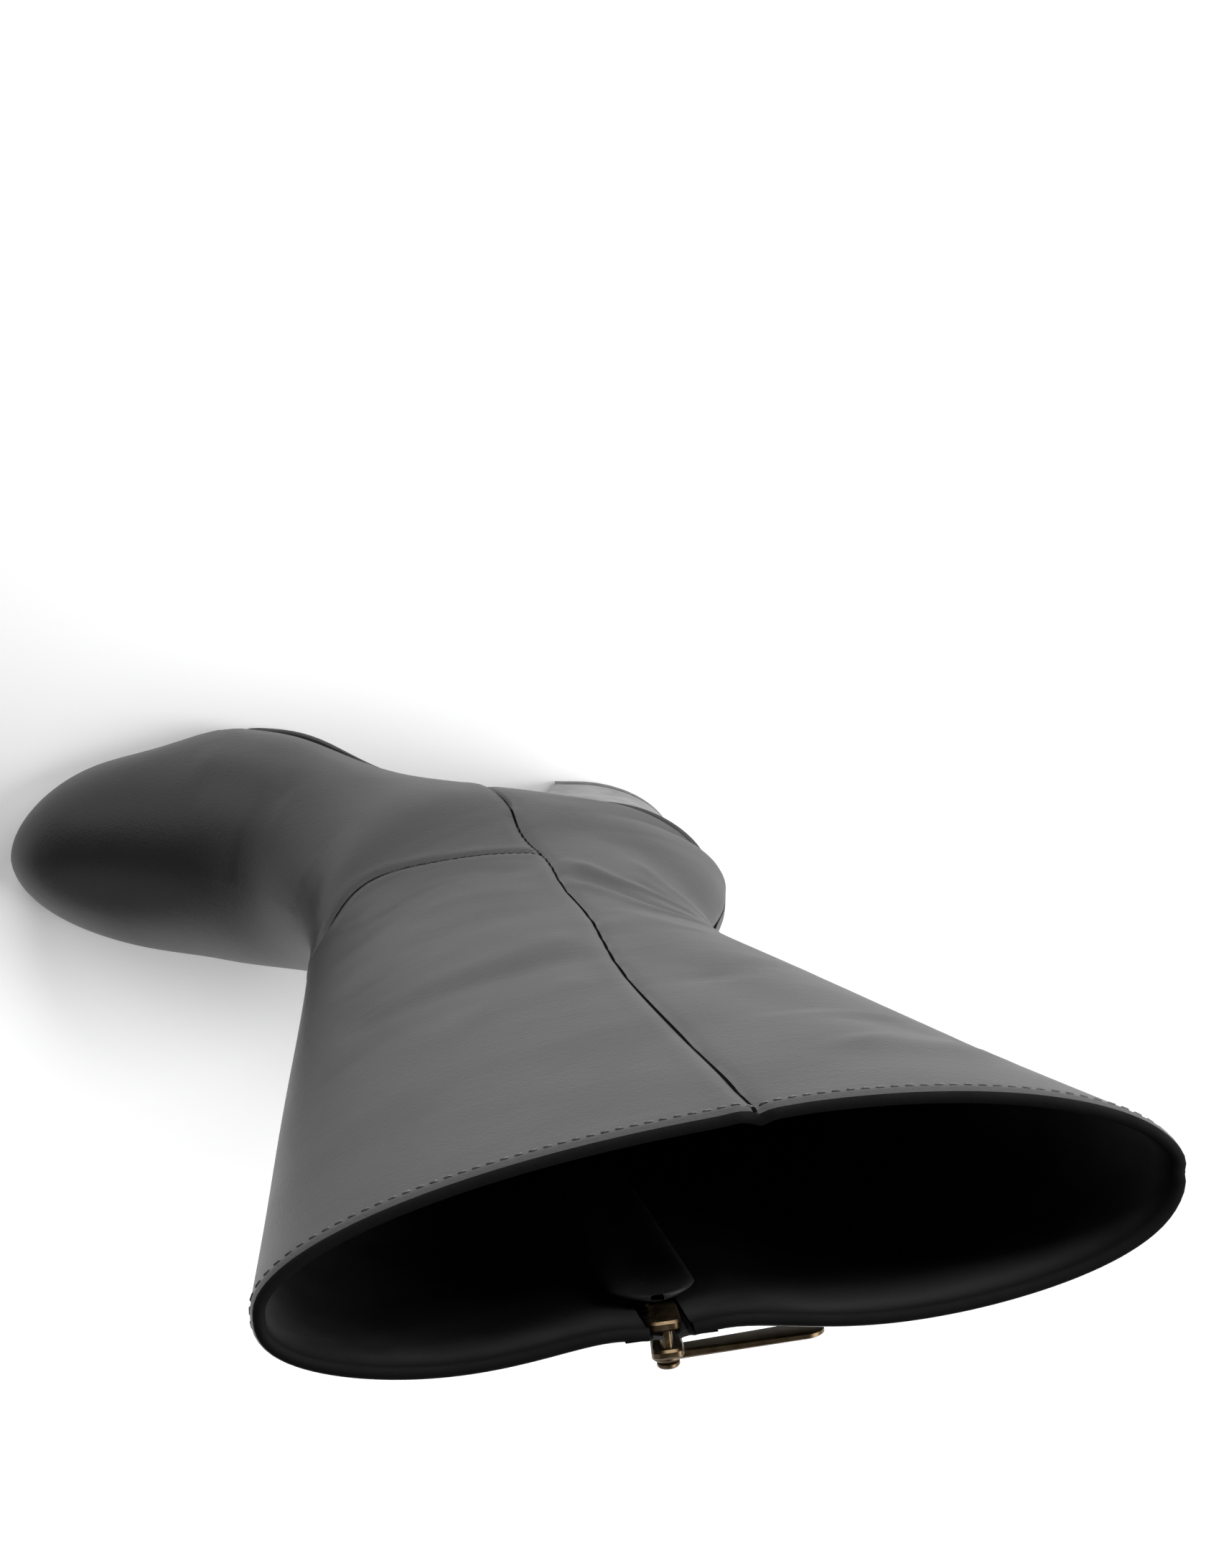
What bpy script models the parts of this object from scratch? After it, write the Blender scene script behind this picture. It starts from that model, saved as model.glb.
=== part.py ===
"""Tall boot for the right foot: a leather upper with a zip on its inner side, on a thin sole and a block heel.

X runs from the heel to the toe, Y from the outer side of the foot to the inner side, Z up from the floor.
Sizes are in millimetres and become metres when a mesh is made.
"""

import math

import bmesh
import bpy
import numpy as np
from mathutils import Matrix, Vector

MM = 0.001
PERCENT = 0.01
ROUND_OFF = 1e-6
SHARP_EDGE_DEG = 40.0

# Driving dimensions
BOOT_HEIGHT = 420.0
FOOT_LENGTH = 242.0
BALL_WIDTH = 80.0
INSTEP_HEIGHT = 145.0
HEEL_HEIGHT = 57.0
TOE_SPRING = 7.5
WALL = 2.2
GAP = 0.3
FEATHER_GAP = 0.5

# Sole: where the seat ends, where the tread lies flat, and its thickness
SEAT_END = 36.0
TREAD_START = 168.0
TREAD_END = 185.0
FOREPART_SOLE = 4.4
SEAT_SOLE = 3.0
INSOLE_BOARD = 2.4
HEEL_MARGIN = 1.0
FOREPART_MARGIN = 0.2
MARGIN_START = 60.0
WAIST_MARGIN = 3.0
WAIST_CENTRE = 131.0
WAIST_SPREAD = 20.0
FOREPART_INSET = WALL + 1.8
SEAT_INSET = WALL + 2.6
SOLE_END_STEPS = 10
SOLE_ARCH_STEPS = 14
SOLE_CROSS_STEPS = 4

# Heel block
TOP_PIECE = 6.0
TOP_PIECE_CHAMFER = 0.6
HEEL_ROUND_CENTRE = 45.0
BREAST_HOLLOW = 2.0
HEEL_ROUND_STEPS = 20
BREAST_STEPS = 4

# Zip, measured from the outer face of the wall: across to the front, out, and up along the zip
SLIT_HALF = 4.2
TAPE_HALF = 3.7
TAPE_DEPTH = 0.8
TEETH_HALF = 2.4
TEETH_IN = 1.5
TEETH_OUT = 0.9
DENT_SPREAD = 0.17
LIP_SPREAD = 0.05
GUARD_HALF = 8.5
GUARD_DEPTH = WALL + 2.0
GUARD_THICKNESS = 1.2
GUARD_TOP = 407.0
GUARD_BOTTOM = 106.0
GUARD_CROSS_STEPS = 4

# Slider and pull tab
SLIDER_HEIGHT = 411.0
SLIDER_LENGTH = 12.0
SLIDER_HALF = 3.2
SLIDER_FOOT_HALF = 2.8
POST_HALF = 1.2
INNER_PLATE = (-3.5, -1.5)
OUTER_PLATE = (2.0, 3.8)
STUD_DROP = 2.0
STUD_RADIUS = 1.1
STUD_TOP = 6.6
STUD_HEAD = 8.0
STUD_HEAD_RADIUS = 2.2
TAB_EYE = 1.5
TAB_EYE_OUTER = 3.0
TAB_LENGTH = 30.0
TAB_NECK_HALF = 2.0
TAB_END_HALF = 3.4
TAB_NEAR = 4.3
TAB_ROOT_THICKNESS = 2.0
TAB_END_THICKNESS = 1.2
TAB_DROOP_DEG = 2.0
TAB_ROUND_STEPS = 12
PIN_STEPS = 20
JOIN_OVERLAP = 0.5
CUT_PAST = 1.0

# Foot sections from the toe tip back to the heel, each a plane from the feather line up to the ridge. Those of
# the toe fan out from the ball. Lengths are per cent of FOOT_LENGTH, rises of INSTEP_HEIGHT, widths and axes of
# BALL_WIDTH. belly and zip are shares of the way from feather line to ridge, rounding is the power of the
# section's curve, flat is the share of the width that straightens the outer side of the toe, and follow is how
# much of the sole's toe spring the section takes on.
FOOT_COLUMNS = ("low", "high", "rise", "low_axis", "high_axis", "outer", "inner", "belly",
                "outer_feather", "inner_feather", "rounding", "flat", "zip", "follow")
FOOT_SECTIONS = (
    (70.5, 99.6, 8.3, -3.6, 1.0, 48.0, 45.0, 0.01, 48.0, 45.0, 1.84, 0.100, 0.30, 1.0),
    (69.9, 100.0, 13.4, -3.6, 1.0, 50.4, 47.0, 0.03, 48.0, 45.0, 1.84, 0.100, 0.30, 0.8),
    (69.3, 99.3, 19.0, -3.7, 0.8, 51.0, 47.6, 0.06, 48.1, 45.0, 1.85, 0.100, 0.30, 0.6),
    (68.7, 96.5, 25.2, -3.7, 0.4, 51.3, 47.8, 0.09, 48.2, 45.0, 1.87, 0.088, 0.30, 0.4),
    (68.1, 91.1, 30.7, -3.8, 0.0, 51.4, 47.9, 0.13, 48.3, 45.0, 1.90, 0.060, 0.30, 0.2),
    (67.5, 82.6, 35.9, -3.9, -0.5, 51.5, 48.0, 0.18, 48.4, 45.1, 1.92, 0.027, 0.30, 0.1),
    (66.8, 74.4, 41.7, -3.9, -0.9, 51.6, 48.0, 0.23, 48.6, 45.1, 1.92, 0.0, 0.30, 0.0),
    (66.1, 66.5, 50.0, -4.0, -1.2, 51.6, 48.0, 0.27, 48.6, 45.0, 1.90, 0.0, 0.28, 0.0),
    (59.1, 60.7, 60.0, -3.5, -0.6, 50.2, 47.0, 0.27, 46.6, 42.6, 1.85, 0.0, 0.26, 0.0),
    (51.2, 57.2, 70.3, -2.5, 1.2, 45.4, 43.1, 0.30, 40.6, 37.0, 1.85, 0.0, 0.24, 0.0),
    (42.6, 55.2, 79.3, -1.2, 3.8, 43.0, 40.0, 0.32, 36.4, 33.2, 1.88, 0.0, 0.22, 0.0),
    (32.6, 54.3, 86.9, -0.6, 6.2, 44.2, 39.5, 0.35, 35.4, 32.0, 1.90, 0.0, 0.21, 0.0),
    (21.9, 53.9, 92.4, 0.0, 8.1, 45.2, 39.8, 0.38, 34.4, 32.0, 1.88, 0.0, 0.262, 0.0),
    (11.6, 53.7, 96.2, 0.0, 9.4, 44.6, 38.9, 0.41, 30.4, 29.1, 1.82, 0.0, 0.41, 0.0),
    (5.0, 53.7, 98.3, 0.0, 10.0, 43.2, 38.4, 0.43, 20.0, 19.6, 1.78, 0.0, 0.461, 0.0),
    (1.2, 53.6, 100.0, 0.0, 10.4, 42.2, 38.1, 0.44, 0.0, 0.0, 1.76, 0.0, 0.484, 0.0),
)

# Ankle and shaft sections from the heel up to the collar, each a plane from the back line to the front line.
# Rises are per cent of the way from the instep to the collar. dent is how far the zip pulls the wall in,
# and lip is how far the slit's edges turn out, both per cent of BALL_WIDTH.
SHAFT_COLUMNS = ("back", "back_rise", "front", "front_rise", "back_axis", "front_axis", "outer", "inner",
                 "belly", "outer_rounding", "inner_rounding", "dent", "lip", "zip")
SHAFT_SECTIONS = (
    (-0.4, -22.9, 53.6, 1.1, 0.0, 11.0, 40.2, 36.9, 0.45, 1.76, 1.80, 0.0, 0.0, 0.512),
    (0.9, -13.8, 53.6, 2.5, 0.0, 11.6, 37.6, 35.6, 0.46, 1.80, 1.85, 0.0, 0.0, 0.522),
    (2.9, -4.7, 53.5, 5.5, 0.0, 12.5, 35.8, 34.5, 0.47, 1.86, 1.90, 0.0, 0.0, 0.504),
    (3.9, 5.5, 53.3, 10.9, 0.0, 13.8, 34.5, 33.6, 0.48, 1.92, 1.95, 0.6, 0.0, 0.494),
    (2.5, 18.2, 53.0, 20.0, -1.5, 15.0, 33.5, 32.5, 0.48, 1.95, 2.05, 1.2, 0.0, 0.507),
    (-1.8, 32.7, 52.6, 33.1, -4.5, 15.6, 33.0, 31.2, 0.47, 1.98, 2.15, 2.5, 0.0, 0.524),
    (-9.4, 58.2, 51.7, 58.2, -11.5, 15.0, 31.9, 30.0, 0.46, 2.0, 2.30, 4.4, 0.0, 0.53),
    (-15.5, 81.8, 50.6, 81.8, -18.8, 12.5, 31.2, 29.0, 0.44, 2.0, 2.50, 6.2, 0.6, 0.54),
    (-21.2, 100.0, 49.8, 100.0, -24.0, 9.2, 30.9, 28.2, 0.43, 2.0, 2.60, 8.1, 2.8, 0.55),
)

# The square of the feather's half width carries on below zero past the last foot row, so the heel closes round
PAST_CLOSING = 20.0
CLOSED_ROW = len(FOOT_SECTIONS) - 1
ZIP_FOOT_ROW = len(FOOT_SECTIONS) - 3
HINGE_ROW = 7
FEATHER_SAMPLES = 80
FLAT_CENTRE = 0.36
FLAT_SPREAD = 0.30

# The leather drawn over the ankle evens its sections out: how far along the boot, round which place, with which
# weights, and the shares of a section over which this fades in from its low end and out towards its high end
EVEN_REACH = 38.0
EVEN_SPREAD = 40.0
EVEN_PAST_CLOSING = 6.0
EVEN_WEIGHTS = (1.0, 6.0, 15.0, 20.0, 15.0, 6.0, 1.0)
EVEN_FADE_LOW = 0.25
EVEN_FADE_HIGH = 0.12

# Upper mesh: steps between one section and the next, and steps round each part of the girth
SECTION_STEPS = (2,) * 21 + (3,) * 3
OUTER_STEPS = 17
FRONT_STEPS = 7
BACK_STEPS = 10
END_CROWDING = 0.8
CURVE_SAMPLES = 60
SHORTEST_KNOT = 3.0
RIDGE_WEIGHT = 0.6
FRAME_STEP = 1.0
HALVINGS = 40

# Heel sections from the floor up to the seat
HEEL_COLUMNS = ("share", "back", "breast", "half_width")
HEEL_SECTIONS = (
    (0.00, 9.6, 53.0, 24.0),
    (0.25, 8.1, 54.4, 24.3),
    (0.50, 6.4, 56.4, 24.8),
    (0.75, 4.3, 58.8, 25.5),
    (1.00, 2.0, 61.4, 26.4),
)


def smooth(share):
    share = np.clip(share, 0.0, 1.0)
    return share * share * (3.0 - 2.0 * share)


def sole_rise(x):
    """How far the shank has climbed from the tread to the heel seat, 0 to 1."""
    return smooth((TREAD_START - x) / (TREAD_START - SEAT_END))


def sole_thickness(x):
    return FOREPART_SOLE + (SEAT_SOLE - FOREPART_SOLE) * sole_rise(x)


def sole_bottom(x):
    spring = np.clip((x - TREAD_END) / (FOOT_LENGTH - TREAD_END), 0.0, 1.0)
    return HEEL_HEIGHT * sole_rise(x) + TOE_SPRING * spring**2


def sole_top(x):
    return sole_bottom(x) + sole_thickness(x)


def toe_sag(x):
    """How far the sole's toe spring dips below a straight line from the ball to the toe tip."""
    ball = FOOT_SECTIONS[0][FOOT_COLUMNS.index("low")] * PERCENT * FOOT_LENGTH
    along = np.clip((x - ball) / (FOOT_LENGTH - ball), 0.0, 1.0)
    straight = sole_top(ball) + (sole_top(FOOT_LENGTH) - sole_top(ball)) * along
    return np.where(along > 0.0, sole_top(x) - straight, 0.0)


def section_table():
    """All sections in millimetres, one dictionary each, from the toe tip to the collar."""
    rows = []
    for values in FOOT_SECTIONS:
        cut = dict(zip(FOOT_COLUMNS, values))
        low_x = cut["low"] * PERCENT * FOOT_LENGTH
        width = PERCENT * BALL_WIDTH
        rows.append({
            "low_x": low_x,
            "low_y": cut["low_axis"] * width,
            "low_z": sole_top(low_x) + FEATHER_GAP,
            "high_x": cut["high"] * PERCENT * FOOT_LENGTH,
            "high_y": cut["high_axis"] * width,
            "high_z": cut["rise"] * PERCENT * INSTEP_HEIGHT,
            "outer": cut["outer"] * width,
            "inner": cut["inner"] * width,
            "belly": cut["belly"],
            "outer_feather_squared": (cut["outer_feather"] * width) ** 2,
            "inner_feather_squared": (cut["inner_feather"] * width) ** 2,
            "outer_rounding": cut["rounding"],
            "inner_rounding": cut["rounding"],
            "dent": 0.0,
            "lip": 0.0,
            "flat": cut["flat"],
            "zip": cut["zip"],
            "follow": cut["follow"],
        })
    for values in SHAFT_SECTIONS:
        cut = dict(zip(SHAFT_COLUMNS, values))
        width = PERCENT * BALL_WIDTH
        climb = PERCENT * (BOOT_HEIGHT - INSTEP_HEIGHT)
        rows.append({
            "low_x": cut["back"] * PERCENT * FOOT_LENGTH,
            "low_y": cut["back_axis"] * width,
            "low_z": INSTEP_HEIGHT + cut["back_rise"] * climb,
            "high_x": cut["front"] * PERCENT * FOOT_LENGTH,
            "high_y": cut["front_axis"] * width,
            "high_z": INSTEP_HEIGHT + cut["front_rise"] * climb,
            "outer": cut["outer"] * width,
            "inner": cut["inner"] * width,
            "belly": cut["belly"],
            "outer_feather_squared": -(PAST_CLOSING * width) ** 2,
            "inner_feather_squared": -(PAST_CLOSING * width) ** 2,
            "outer_rounding": cut["outer_rounding"],
            "inner_rounding": cut["inner_rounding"],
            "dent": cut["dent"] * width,
            "lip": cut["lip"] * width,
            "flat": 0.0,
            "zip": cut["zip"],
            "follow": 0.0,
        })
    return rows


SECTION_ROWS = section_table()
SECTION_NAMES = tuple(SECTION_ROWS[0])
SECTION_VALUES = np.array([list(row.values()) for row in SECTION_ROWS])


def section_knots():
    """Distance along the boot's middle at each section."""
    low = SECTION_VALUES[:, 0:3]
    high = SECTION_VALUES[:, 3:6]
    middle = low + (high - low) * RIDGE_WEIGHT
    steps = np.linalg.norm(np.diff(middle, axis=0), axis=1)
    return np.concatenate([[0.0], np.cumsum(np.maximum(steps, SHORTEST_KNOT))])


def spline_curvature(knots, values):
    """Second derivatives of the natural cubic spline through the sections, for every column at once."""
    count = len(knots)
    step = np.diff(knots)
    matrix = np.eye(count)
    right = np.zeros_like(values)
    for i in range(1, count - 1):
        matrix[i, i - 1] = step[i - 1]
        matrix[i, i] = 2.0 * (step[i - 1] + step[i])
        matrix[i, i + 1] = step[i]
        rise_after = (values[i + 1] - values[i]) / step[i]
        rise_before = (values[i] - values[i - 1]) / step[i - 1]
        right[i] = 6.0 * (rise_after - rise_before)
    return np.linalg.solve(matrix, right)


KNOTS = section_knots()
CURVATURE = spline_curvature(KNOTS, SECTION_VALUES)
CLOSED_AT = KNOTS[CLOSED_ROW]


def section(place):
    """The section at a distance along the boot, between the rows of the tables."""
    i = int(np.clip(np.searchsorted(KNOTS, place, side="right") - 1, 0, len(KNOTS) - 2))
    step = KNOTS[i + 1] - KNOTS[i]
    before = (KNOTS[i + 1] - place) / step
    after = 1.0 - before
    values = before * SECTION_VALUES[i] + after * SECTION_VALUES[i + 1]
    bend = (before**3 - before) * CURVATURE[i] + (after**3 - after) * CURVATURE[i + 1]
    row = dict(zip(SECTION_NAMES, values + bend * step * step / 6.0))
    still_open = place < CLOSED_AT - ROUND_OFF
    if still_open:
        row["low_z"] = sole_top(row["low_x"]) + FEATHER_GAP
    for side in ("outer", "inner"):
        squared = max(row[side + "_feather_squared"], 0.0)
        row[side + "_feather"] = math.sqrt(squared) if still_open else 0.0
    return row


def half_girth(row, side):
    """Half a section from the ridge or front line down to the feather line or back line.

    Returns the points and, for each, its share of the way up from feather or back line to ridge or front.
    """
    name = "outer" if side < 0 else "inner"
    turn = np.linspace(0.0, math.pi / 2.0, CURVE_SAMPLES)
    width = row[name]
    feather = min(row[name + "_feather"], width)
    rounding = row[name + "_rounding"]
    belly = row["belly"]
    sine = np.clip(np.sin(turn), 0.0, 1.0)
    cosine = np.clip(np.cos(turn), 0.0, 1.0)
    power = 2.0 / rounding
    turned_in = 1.0 - (feather / width) ** rounding
    share_above = belly + (1.0 - belly) * cosine**power
    reach_above = width * sine**power
    share_below = belly * (1.0 - sine**power)
    reach_below = width * (1.0 - turned_in * sine**2) ** (1.0 / rounding)
    share = np.concatenate([share_above, share_below[1:]])
    reach = np.concatenate([reach_above, reach_below[1:]])
    if side > 0:
        from_zip = share - row["zip"]
        reach = reach - row["dent"] * np.exp(-((from_zip / DENT_SPREAD) ** 2))
        reach = reach + row["lip"] * np.exp(-((from_zip / LIP_SPREAD) ** 2))
    else:
        reach = reach * (1.0 - row["flat"] * np.exp(-(((share - FLAT_CENTRE) / FLAT_SPREAD) ** 2)))
    low = np.array([row["low_x"], row["low_y"], row["low_z"]])
    high = np.array([row["high_x"], row["high_y"], row["high_z"]])
    points = low + (high - low) * share[:, None]
    points[:, 1] += side * reach
    points[:, 2] += row["follow"] * toe_sag(points[:, 0])
    return points, share


def drawn_girth(place, side):
    """Half a section as half_girth gives it, evened out with its neighbours along the boot near the ankle."""
    points, share = half_girth(section(place), side)
    from_ankle = (place - CLOSED_AT - EVEN_PAST_CLOSING) / EVEN_SPREAD
    reach = EVEN_REACH * math.exp(-from_ankle * from_ankle)
    if reach < FRAME_STEP:
        return points, share
    evened = np.zeros_like(points)
    for weight, offset in zip(EVEN_WEIGHTS, np.linspace(-reach, reach, len(EVEN_WEIGHTS))):
        evened += weight * half_girth(section(place + offset), side)[0]
    evened /= sum(EVEN_WEIGHTS)
    blend = smooth(share / EVEN_FADE_LOW) * smooth((1.0 - share) / EVEN_FADE_HIGH)
    return points + (evened - points) * blend[:, None], share


def arc_lengths(points):
    steps = np.linalg.norm(np.diff(points, axis=0), axis=1)
    return np.concatenate([[0.0], np.cumsum(steps)])


def at_arc(points, wanted):
    """Points at the wanted distances along a polyline."""
    length = arc_lengths(points)
    return np.stack([np.interp(wanted, length, points[:, axis]) for axis in range(3)], axis=-1)


def zip_arc(points, share, zip_share):
    """Distance from the front line to the zip along the inner half of a section."""
    return float(np.interp(-zip_share, -share, arc_lengths(points)))


def crowded(count, both_ends):
    """Shares from 0 to 1, closer together at the start, or at both ends, where a section turns most."""
    even = np.linspace(0.0, 1.0, count + 1)
    if both_ends:
        turned = (1.0 - np.cos(math.pi * even)) / 2.0
    else:
        turned = 1.0 - np.cos(math.pi / 2.0 * even)
    return even + (turned - even) * END_CROWDING


def girth(place):
    """One row of the upper's outer face, from the outer feather edge over the ridge to the inner feather edge.

    The cell after OUTER_STEPS + FRONT_STEPS is the zip's slit.
    """
    row = section(place)
    outer, _ = drawn_girth(place, -1.0)
    inner, share = drawn_girth(place, 1.0)
    outer_length = arc_lengths(outer)[-1]
    inner_length = arc_lengths(inner)[-1]
    zip_at = zip_arc(inner, share, row["zip"])
    slit_end = zip_at + SLIT_HALF
    outer_stops = outer_length * (1.0 - crowded(OUTER_STEPS, True))
    front_stops = (zip_at - SLIT_HALF) * crowded(FRONT_STEPS, False)[1:]
    back_stops = inner_length - (inner_length - slit_end) * crowded(BACK_STEPS, False)[::-1]
    inner_stops = np.concatenate([front_stops, back_stops])
    return np.concatenate([at_arc(outer, outer_stops), at_arc(inner, inner_stops)])


def upper_places():
    """Distances along the boot at which the upper's mesh has a row."""
    places = [KNOTS[0]]
    for start, end, steps in zip(KNOTS[:-1], KNOTS[1:], SECTION_STEPS):
        places.extend(np.linspace(start, end, steps + 1)[1:])
    return np.array(places)


def zip_frame(place, across=0.0):
    """Point on the outer face at the zip, or beside it, with unit vectors to the front, outwards and upwards."""

    def on_face(at_place, at_across):
        inner, share = drawn_girth(at_place, 1.0)
        centre = zip_arc(inner, share, section(at_place)["zip"])
        return at_arc(inner, np.array([centre - at_across]))[0]

    last = KNOTS[-1]
    point = on_face(place, across)
    front = on_face(place, across + FRAME_STEP) - on_face(place, across - FRAME_STEP)
    up = on_face(min(place + FRAME_STEP, last), across) - on_face(place - FRAME_STEP, across)
    front = front / np.linalg.norm(front)
    out = np.cross(up, front)
    out = out / np.linalg.norm(out)
    return point, front, out, np.cross(front, out)


def zip_place(height):
    """Distance along the boot at which the zip's line reaches a height."""
    low = KNOTS[ZIP_FOOT_ROW]
    high = KNOTS[-1]
    for _ in range(HALVINGS):
        middle = (low + high) / 2.0
        if zip_frame(middle)[0][2] < height:
            low = middle
        else:
            high = middle
    return low


def make_material(name, colour, roughness, metallic=0.0):
    material = bpy.data.materials.new(name)
    material.use_nodes = True
    shader = material.node_tree.nodes["Principled BSDF"]
    shader.inputs["Base Color"].default_value = (*colour, 1.0)
    shader.inputs["Roughness"].default_value = roughness
    shader.inputs["Metallic"].default_value = metallic
    return material


def make_object(name, points, faces, material, parent):
    """A mesh object from points in millimetres, with doubled points joined and faces turned outwards."""
    mesh = bpy.data.meshes.new(name)
    work = bmesh.new()
    corners = [work.verts.new(Vector(point) * MM) for point in points]
    for face in faces:
        work.faces.new([corners[index] for index in face])
    bmesh.ops.remove_doubles(work, verts=work.verts[:], dist=ROUND_OFF)
    bmesh.ops.recalc_face_normals(work, faces=work.faces[:])
    work.to_mesh(mesh)
    work.free()
    mesh.materials.append(material)
    mesh.shade_smooth()
    mesh.set_sharp_from_angle(angle=math.radians(SHARP_EDGE_DEG))
    created = bpy.data.objects.new(name, mesh)
    bpy.context.scene.collection.objects.link(created)
    created.parent = parent
    return created


def slab_faces(rows, columns):
    """Faces of a closed slab: an upper grid, a lower grid after it in the list, and the rims between them."""
    faces = []
    below = rows * columns
    for i in range(rows - 1):
        for j in range(columns - 1):
            a = i * columns + j
            quad = (a, a + 1, a + columns + 1, a + columns)
            faces.append(quad)
            faces.append(tuple(below + index for index in reversed(quad)))
    edge = list(range(columns))
    edge += [i * columns + columns - 1 for i in range(1, rows)]
    edge += [(rows - 1) * columns + j for j in range(columns - 2, -1, -1)]
    edge += [i * columns for i in range(rows - 2, 0, -1)]
    for a, b in zip(edge, edge[1:] + edge[:1]):
        faces.append((b, a, below + a, below + b))
    return faces


def make_slab(name, upper_grid, lower_grid, material, parent):
    rows, columns = upper_grid.shape[:2]
    points = np.concatenate([upper_grid.reshape(-1, 3), lower_grid.reshape(-1, 3)])
    return make_object(name, points, slab_faces(rows, columns), material, parent)


def make_stack(name, rings, material, parent):
    """A closed solid through rings of equal count, with a flat cap on its first and last ring."""
    count = len(rings[0])
    points = np.concatenate(rings)
    faces = [tuple(range(count)), tuple(range((len(rings) - 1) * count, len(rings) * count))]
    for level in range(len(rings) - 1):
        for i in range(count):
            a = level * count + i
            b = level * count + (i + 1) % count
            faces.append((a, b, b + count, a + count))
    return make_object(name, points, faces, material, parent)


def make_upper(material, parent):
    """The leather shell: its outer face as a grid with the zip's cells left out, thickened inwards."""
    places = upper_places()
    grid = np.array([girth(place) for place in places])
    rows, columns = grid.shape[:2]
    slit_column = OUTER_STEPS + FRONT_STEPS
    faces = []
    for i in range(rows - 1):
        for j in range(columns - 1):
            in_slit = j == slit_column and places[i] > KNOTS[ZIP_FOOT_ROW] - GAP
            a = i * columns + j
            if not in_slit:
                faces.append((a, a + columns, a + columns + 1, a + 1))
    upper = make_object("upper", grid.reshape(-1, 3), faces, material, parent)
    shell = upper.modifiers.new("wall", "SOLIDIFY")
    shell.thickness = WALL * MM
    shell.offset = -1.0
    shell.use_even_offset = False
    shell.use_rim = True
    return upper


def feather_edge(side):
    """Plan of the feather line on one side from the back of the heel to the toe tip."""
    spread = np.linspace(0.0, 1.0, FEATHER_SAMPLES) ** 2
    heel_to_toe = CLOSED_AT + (KNOTS[HINGE_ROW] - CLOSED_AT) * spread
    sides = [half_girth(section(place), side)[0][-1] for place in heel_to_toe]
    toe = half_girth(section(KNOTS[0]), side)[0][::-1]
    return np.concatenate([np.array(sides), toe[1:]])[:, :2]


def sole_margin(x, side):
    """How far the outsole stands out past the feather line."""
    margin = HEEL_MARGIN + (FOREPART_MARGIN - HEEL_MARGIN) * smooth((x - MARGIN_START) / MARGIN_START)
    if side < 0:
        margin = margin + WAIST_MARGIN * np.exp(-(((x - WAIST_CENTRE) / WAIST_SPREAD) ** 2))
    return margin


def sole_stations(start, end):
    """Lengths along the sole from heel to toe, closer together where its ends turn."""
    turn = np.linspace(0.0, math.pi / 2.0, SOLE_END_STEPS + 1)
    heel = start + (SEAT_END - start) * (1.0 - np.cos(turn))
    arch = np.linspace(SEAT_END, TREAD_START, SOLE_ARCH_STEPS + 1)[1:]
    toe = TREAD_END + (end - TREAD_END) * np.sin(turn)
    return np.concatenate([heel, arch, toe])


def offset_edge(side, outset):
    """The feather line moved outwards in plan: lengths along the foot and places across it."""
    edge = feather_edge(side)
    tangent = np.gradient(edge, axis=0)
    normal = np.column_stack([-tangent[:, 1], tangent[:, 0]]) * side
    normal[0] = (-1.0, 0.0)
    normal[-1] = (1.0, 0.0)
    normal = normal / np.linalg.norm(normal, axis=1)[:, None]
    moved = edge + normal * outset(edge[:, 0], side)[:, None]
    return moved[:, 0], moved[:, 1]


def sole_plan(outset):
    """Grid of plan points, heel to toe and outer to inner side, at a distance outside the feather line."""
    outer_x, outer_y = offset_edge(-1.0, outset)
    inner_x, inner_y = offset_edge(1.0, outset)
    stations = sole_stations(outer_x[0], outer_x[-1])
    outer = np.interp(stations, outer_x, outer_y)
    inner = np.interp(stations, inner_x, inner_y)
    cross = np.linspace(0.0, 1.0, SOLE_CROSS_STEPS + 1)
    across = outer[:, None] + (inner - outer)[:, None] * cross
    along = np.repeat(stations[:, None], len(cross), axis=1)
    return along, across


def make_outsole(material, parent):
    along, across = sole_plan(sole_margin)
    top = np.stack([along, across, sole_top(along)], axis=-1)
    bottom = np.stack([along, across, sole_bottom(along)], axis=-1)
    return make_slab("outsole", top, bottom, material, parent)


def insole_margin(x, side):
    """The board ends short of the feather line on both sides, more so at the seat where the wall turns under."""
    return -(FOREPART_INSET + (SEAT_INSET - FOREPART_INSET) * sole_rise(x))


def make_insole(material, parent):
    """The board stands on the outsole, inside the upper's wall."""
    along, across = sole_plan(insole_margin)
    bed = sole_top(along) + GAP
    top = np.stack([along, across, bed + INSOLE_BOARD], axis=-1)
    bottom = np.stack([along, across, bed], axis=-1)
    return make_slab("insole", top, bottom, material, parent)


def heel_plan(back, breast, half_width, inset=0.0):
    """Plan of the heel at one height: straight sides, a round back and a hollow breast."""
    turn = np.linspace(-math.pi / 2.0, math.pi / 2.0, HEEL_ROUND_STEPS + 1)
    reach = HEEL_ROUND_CENTRE - back - inset
    half = half_width - inset
    front = breast - inset
    round_x = HEEL_ROUND_CENTRE - reach * np.cos(turn)
    round_y = half * np.sin(turn)
    across = np.linspace(half, -half, BREAST_STEPS + 1)
    breast_x = front - BREAST_HOLLOW * (1.0 - (across / half) ** 2)
    x = np.concatenate([round_x, breast_x])
    y = np.concatenate([round_y, across])
    return np.stack([x, y], axis=-1)


def heel_rows():
    return [dict(zip(HEEL_COLUMNS, values)) for values in HEEL_SECTIONS]


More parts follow.
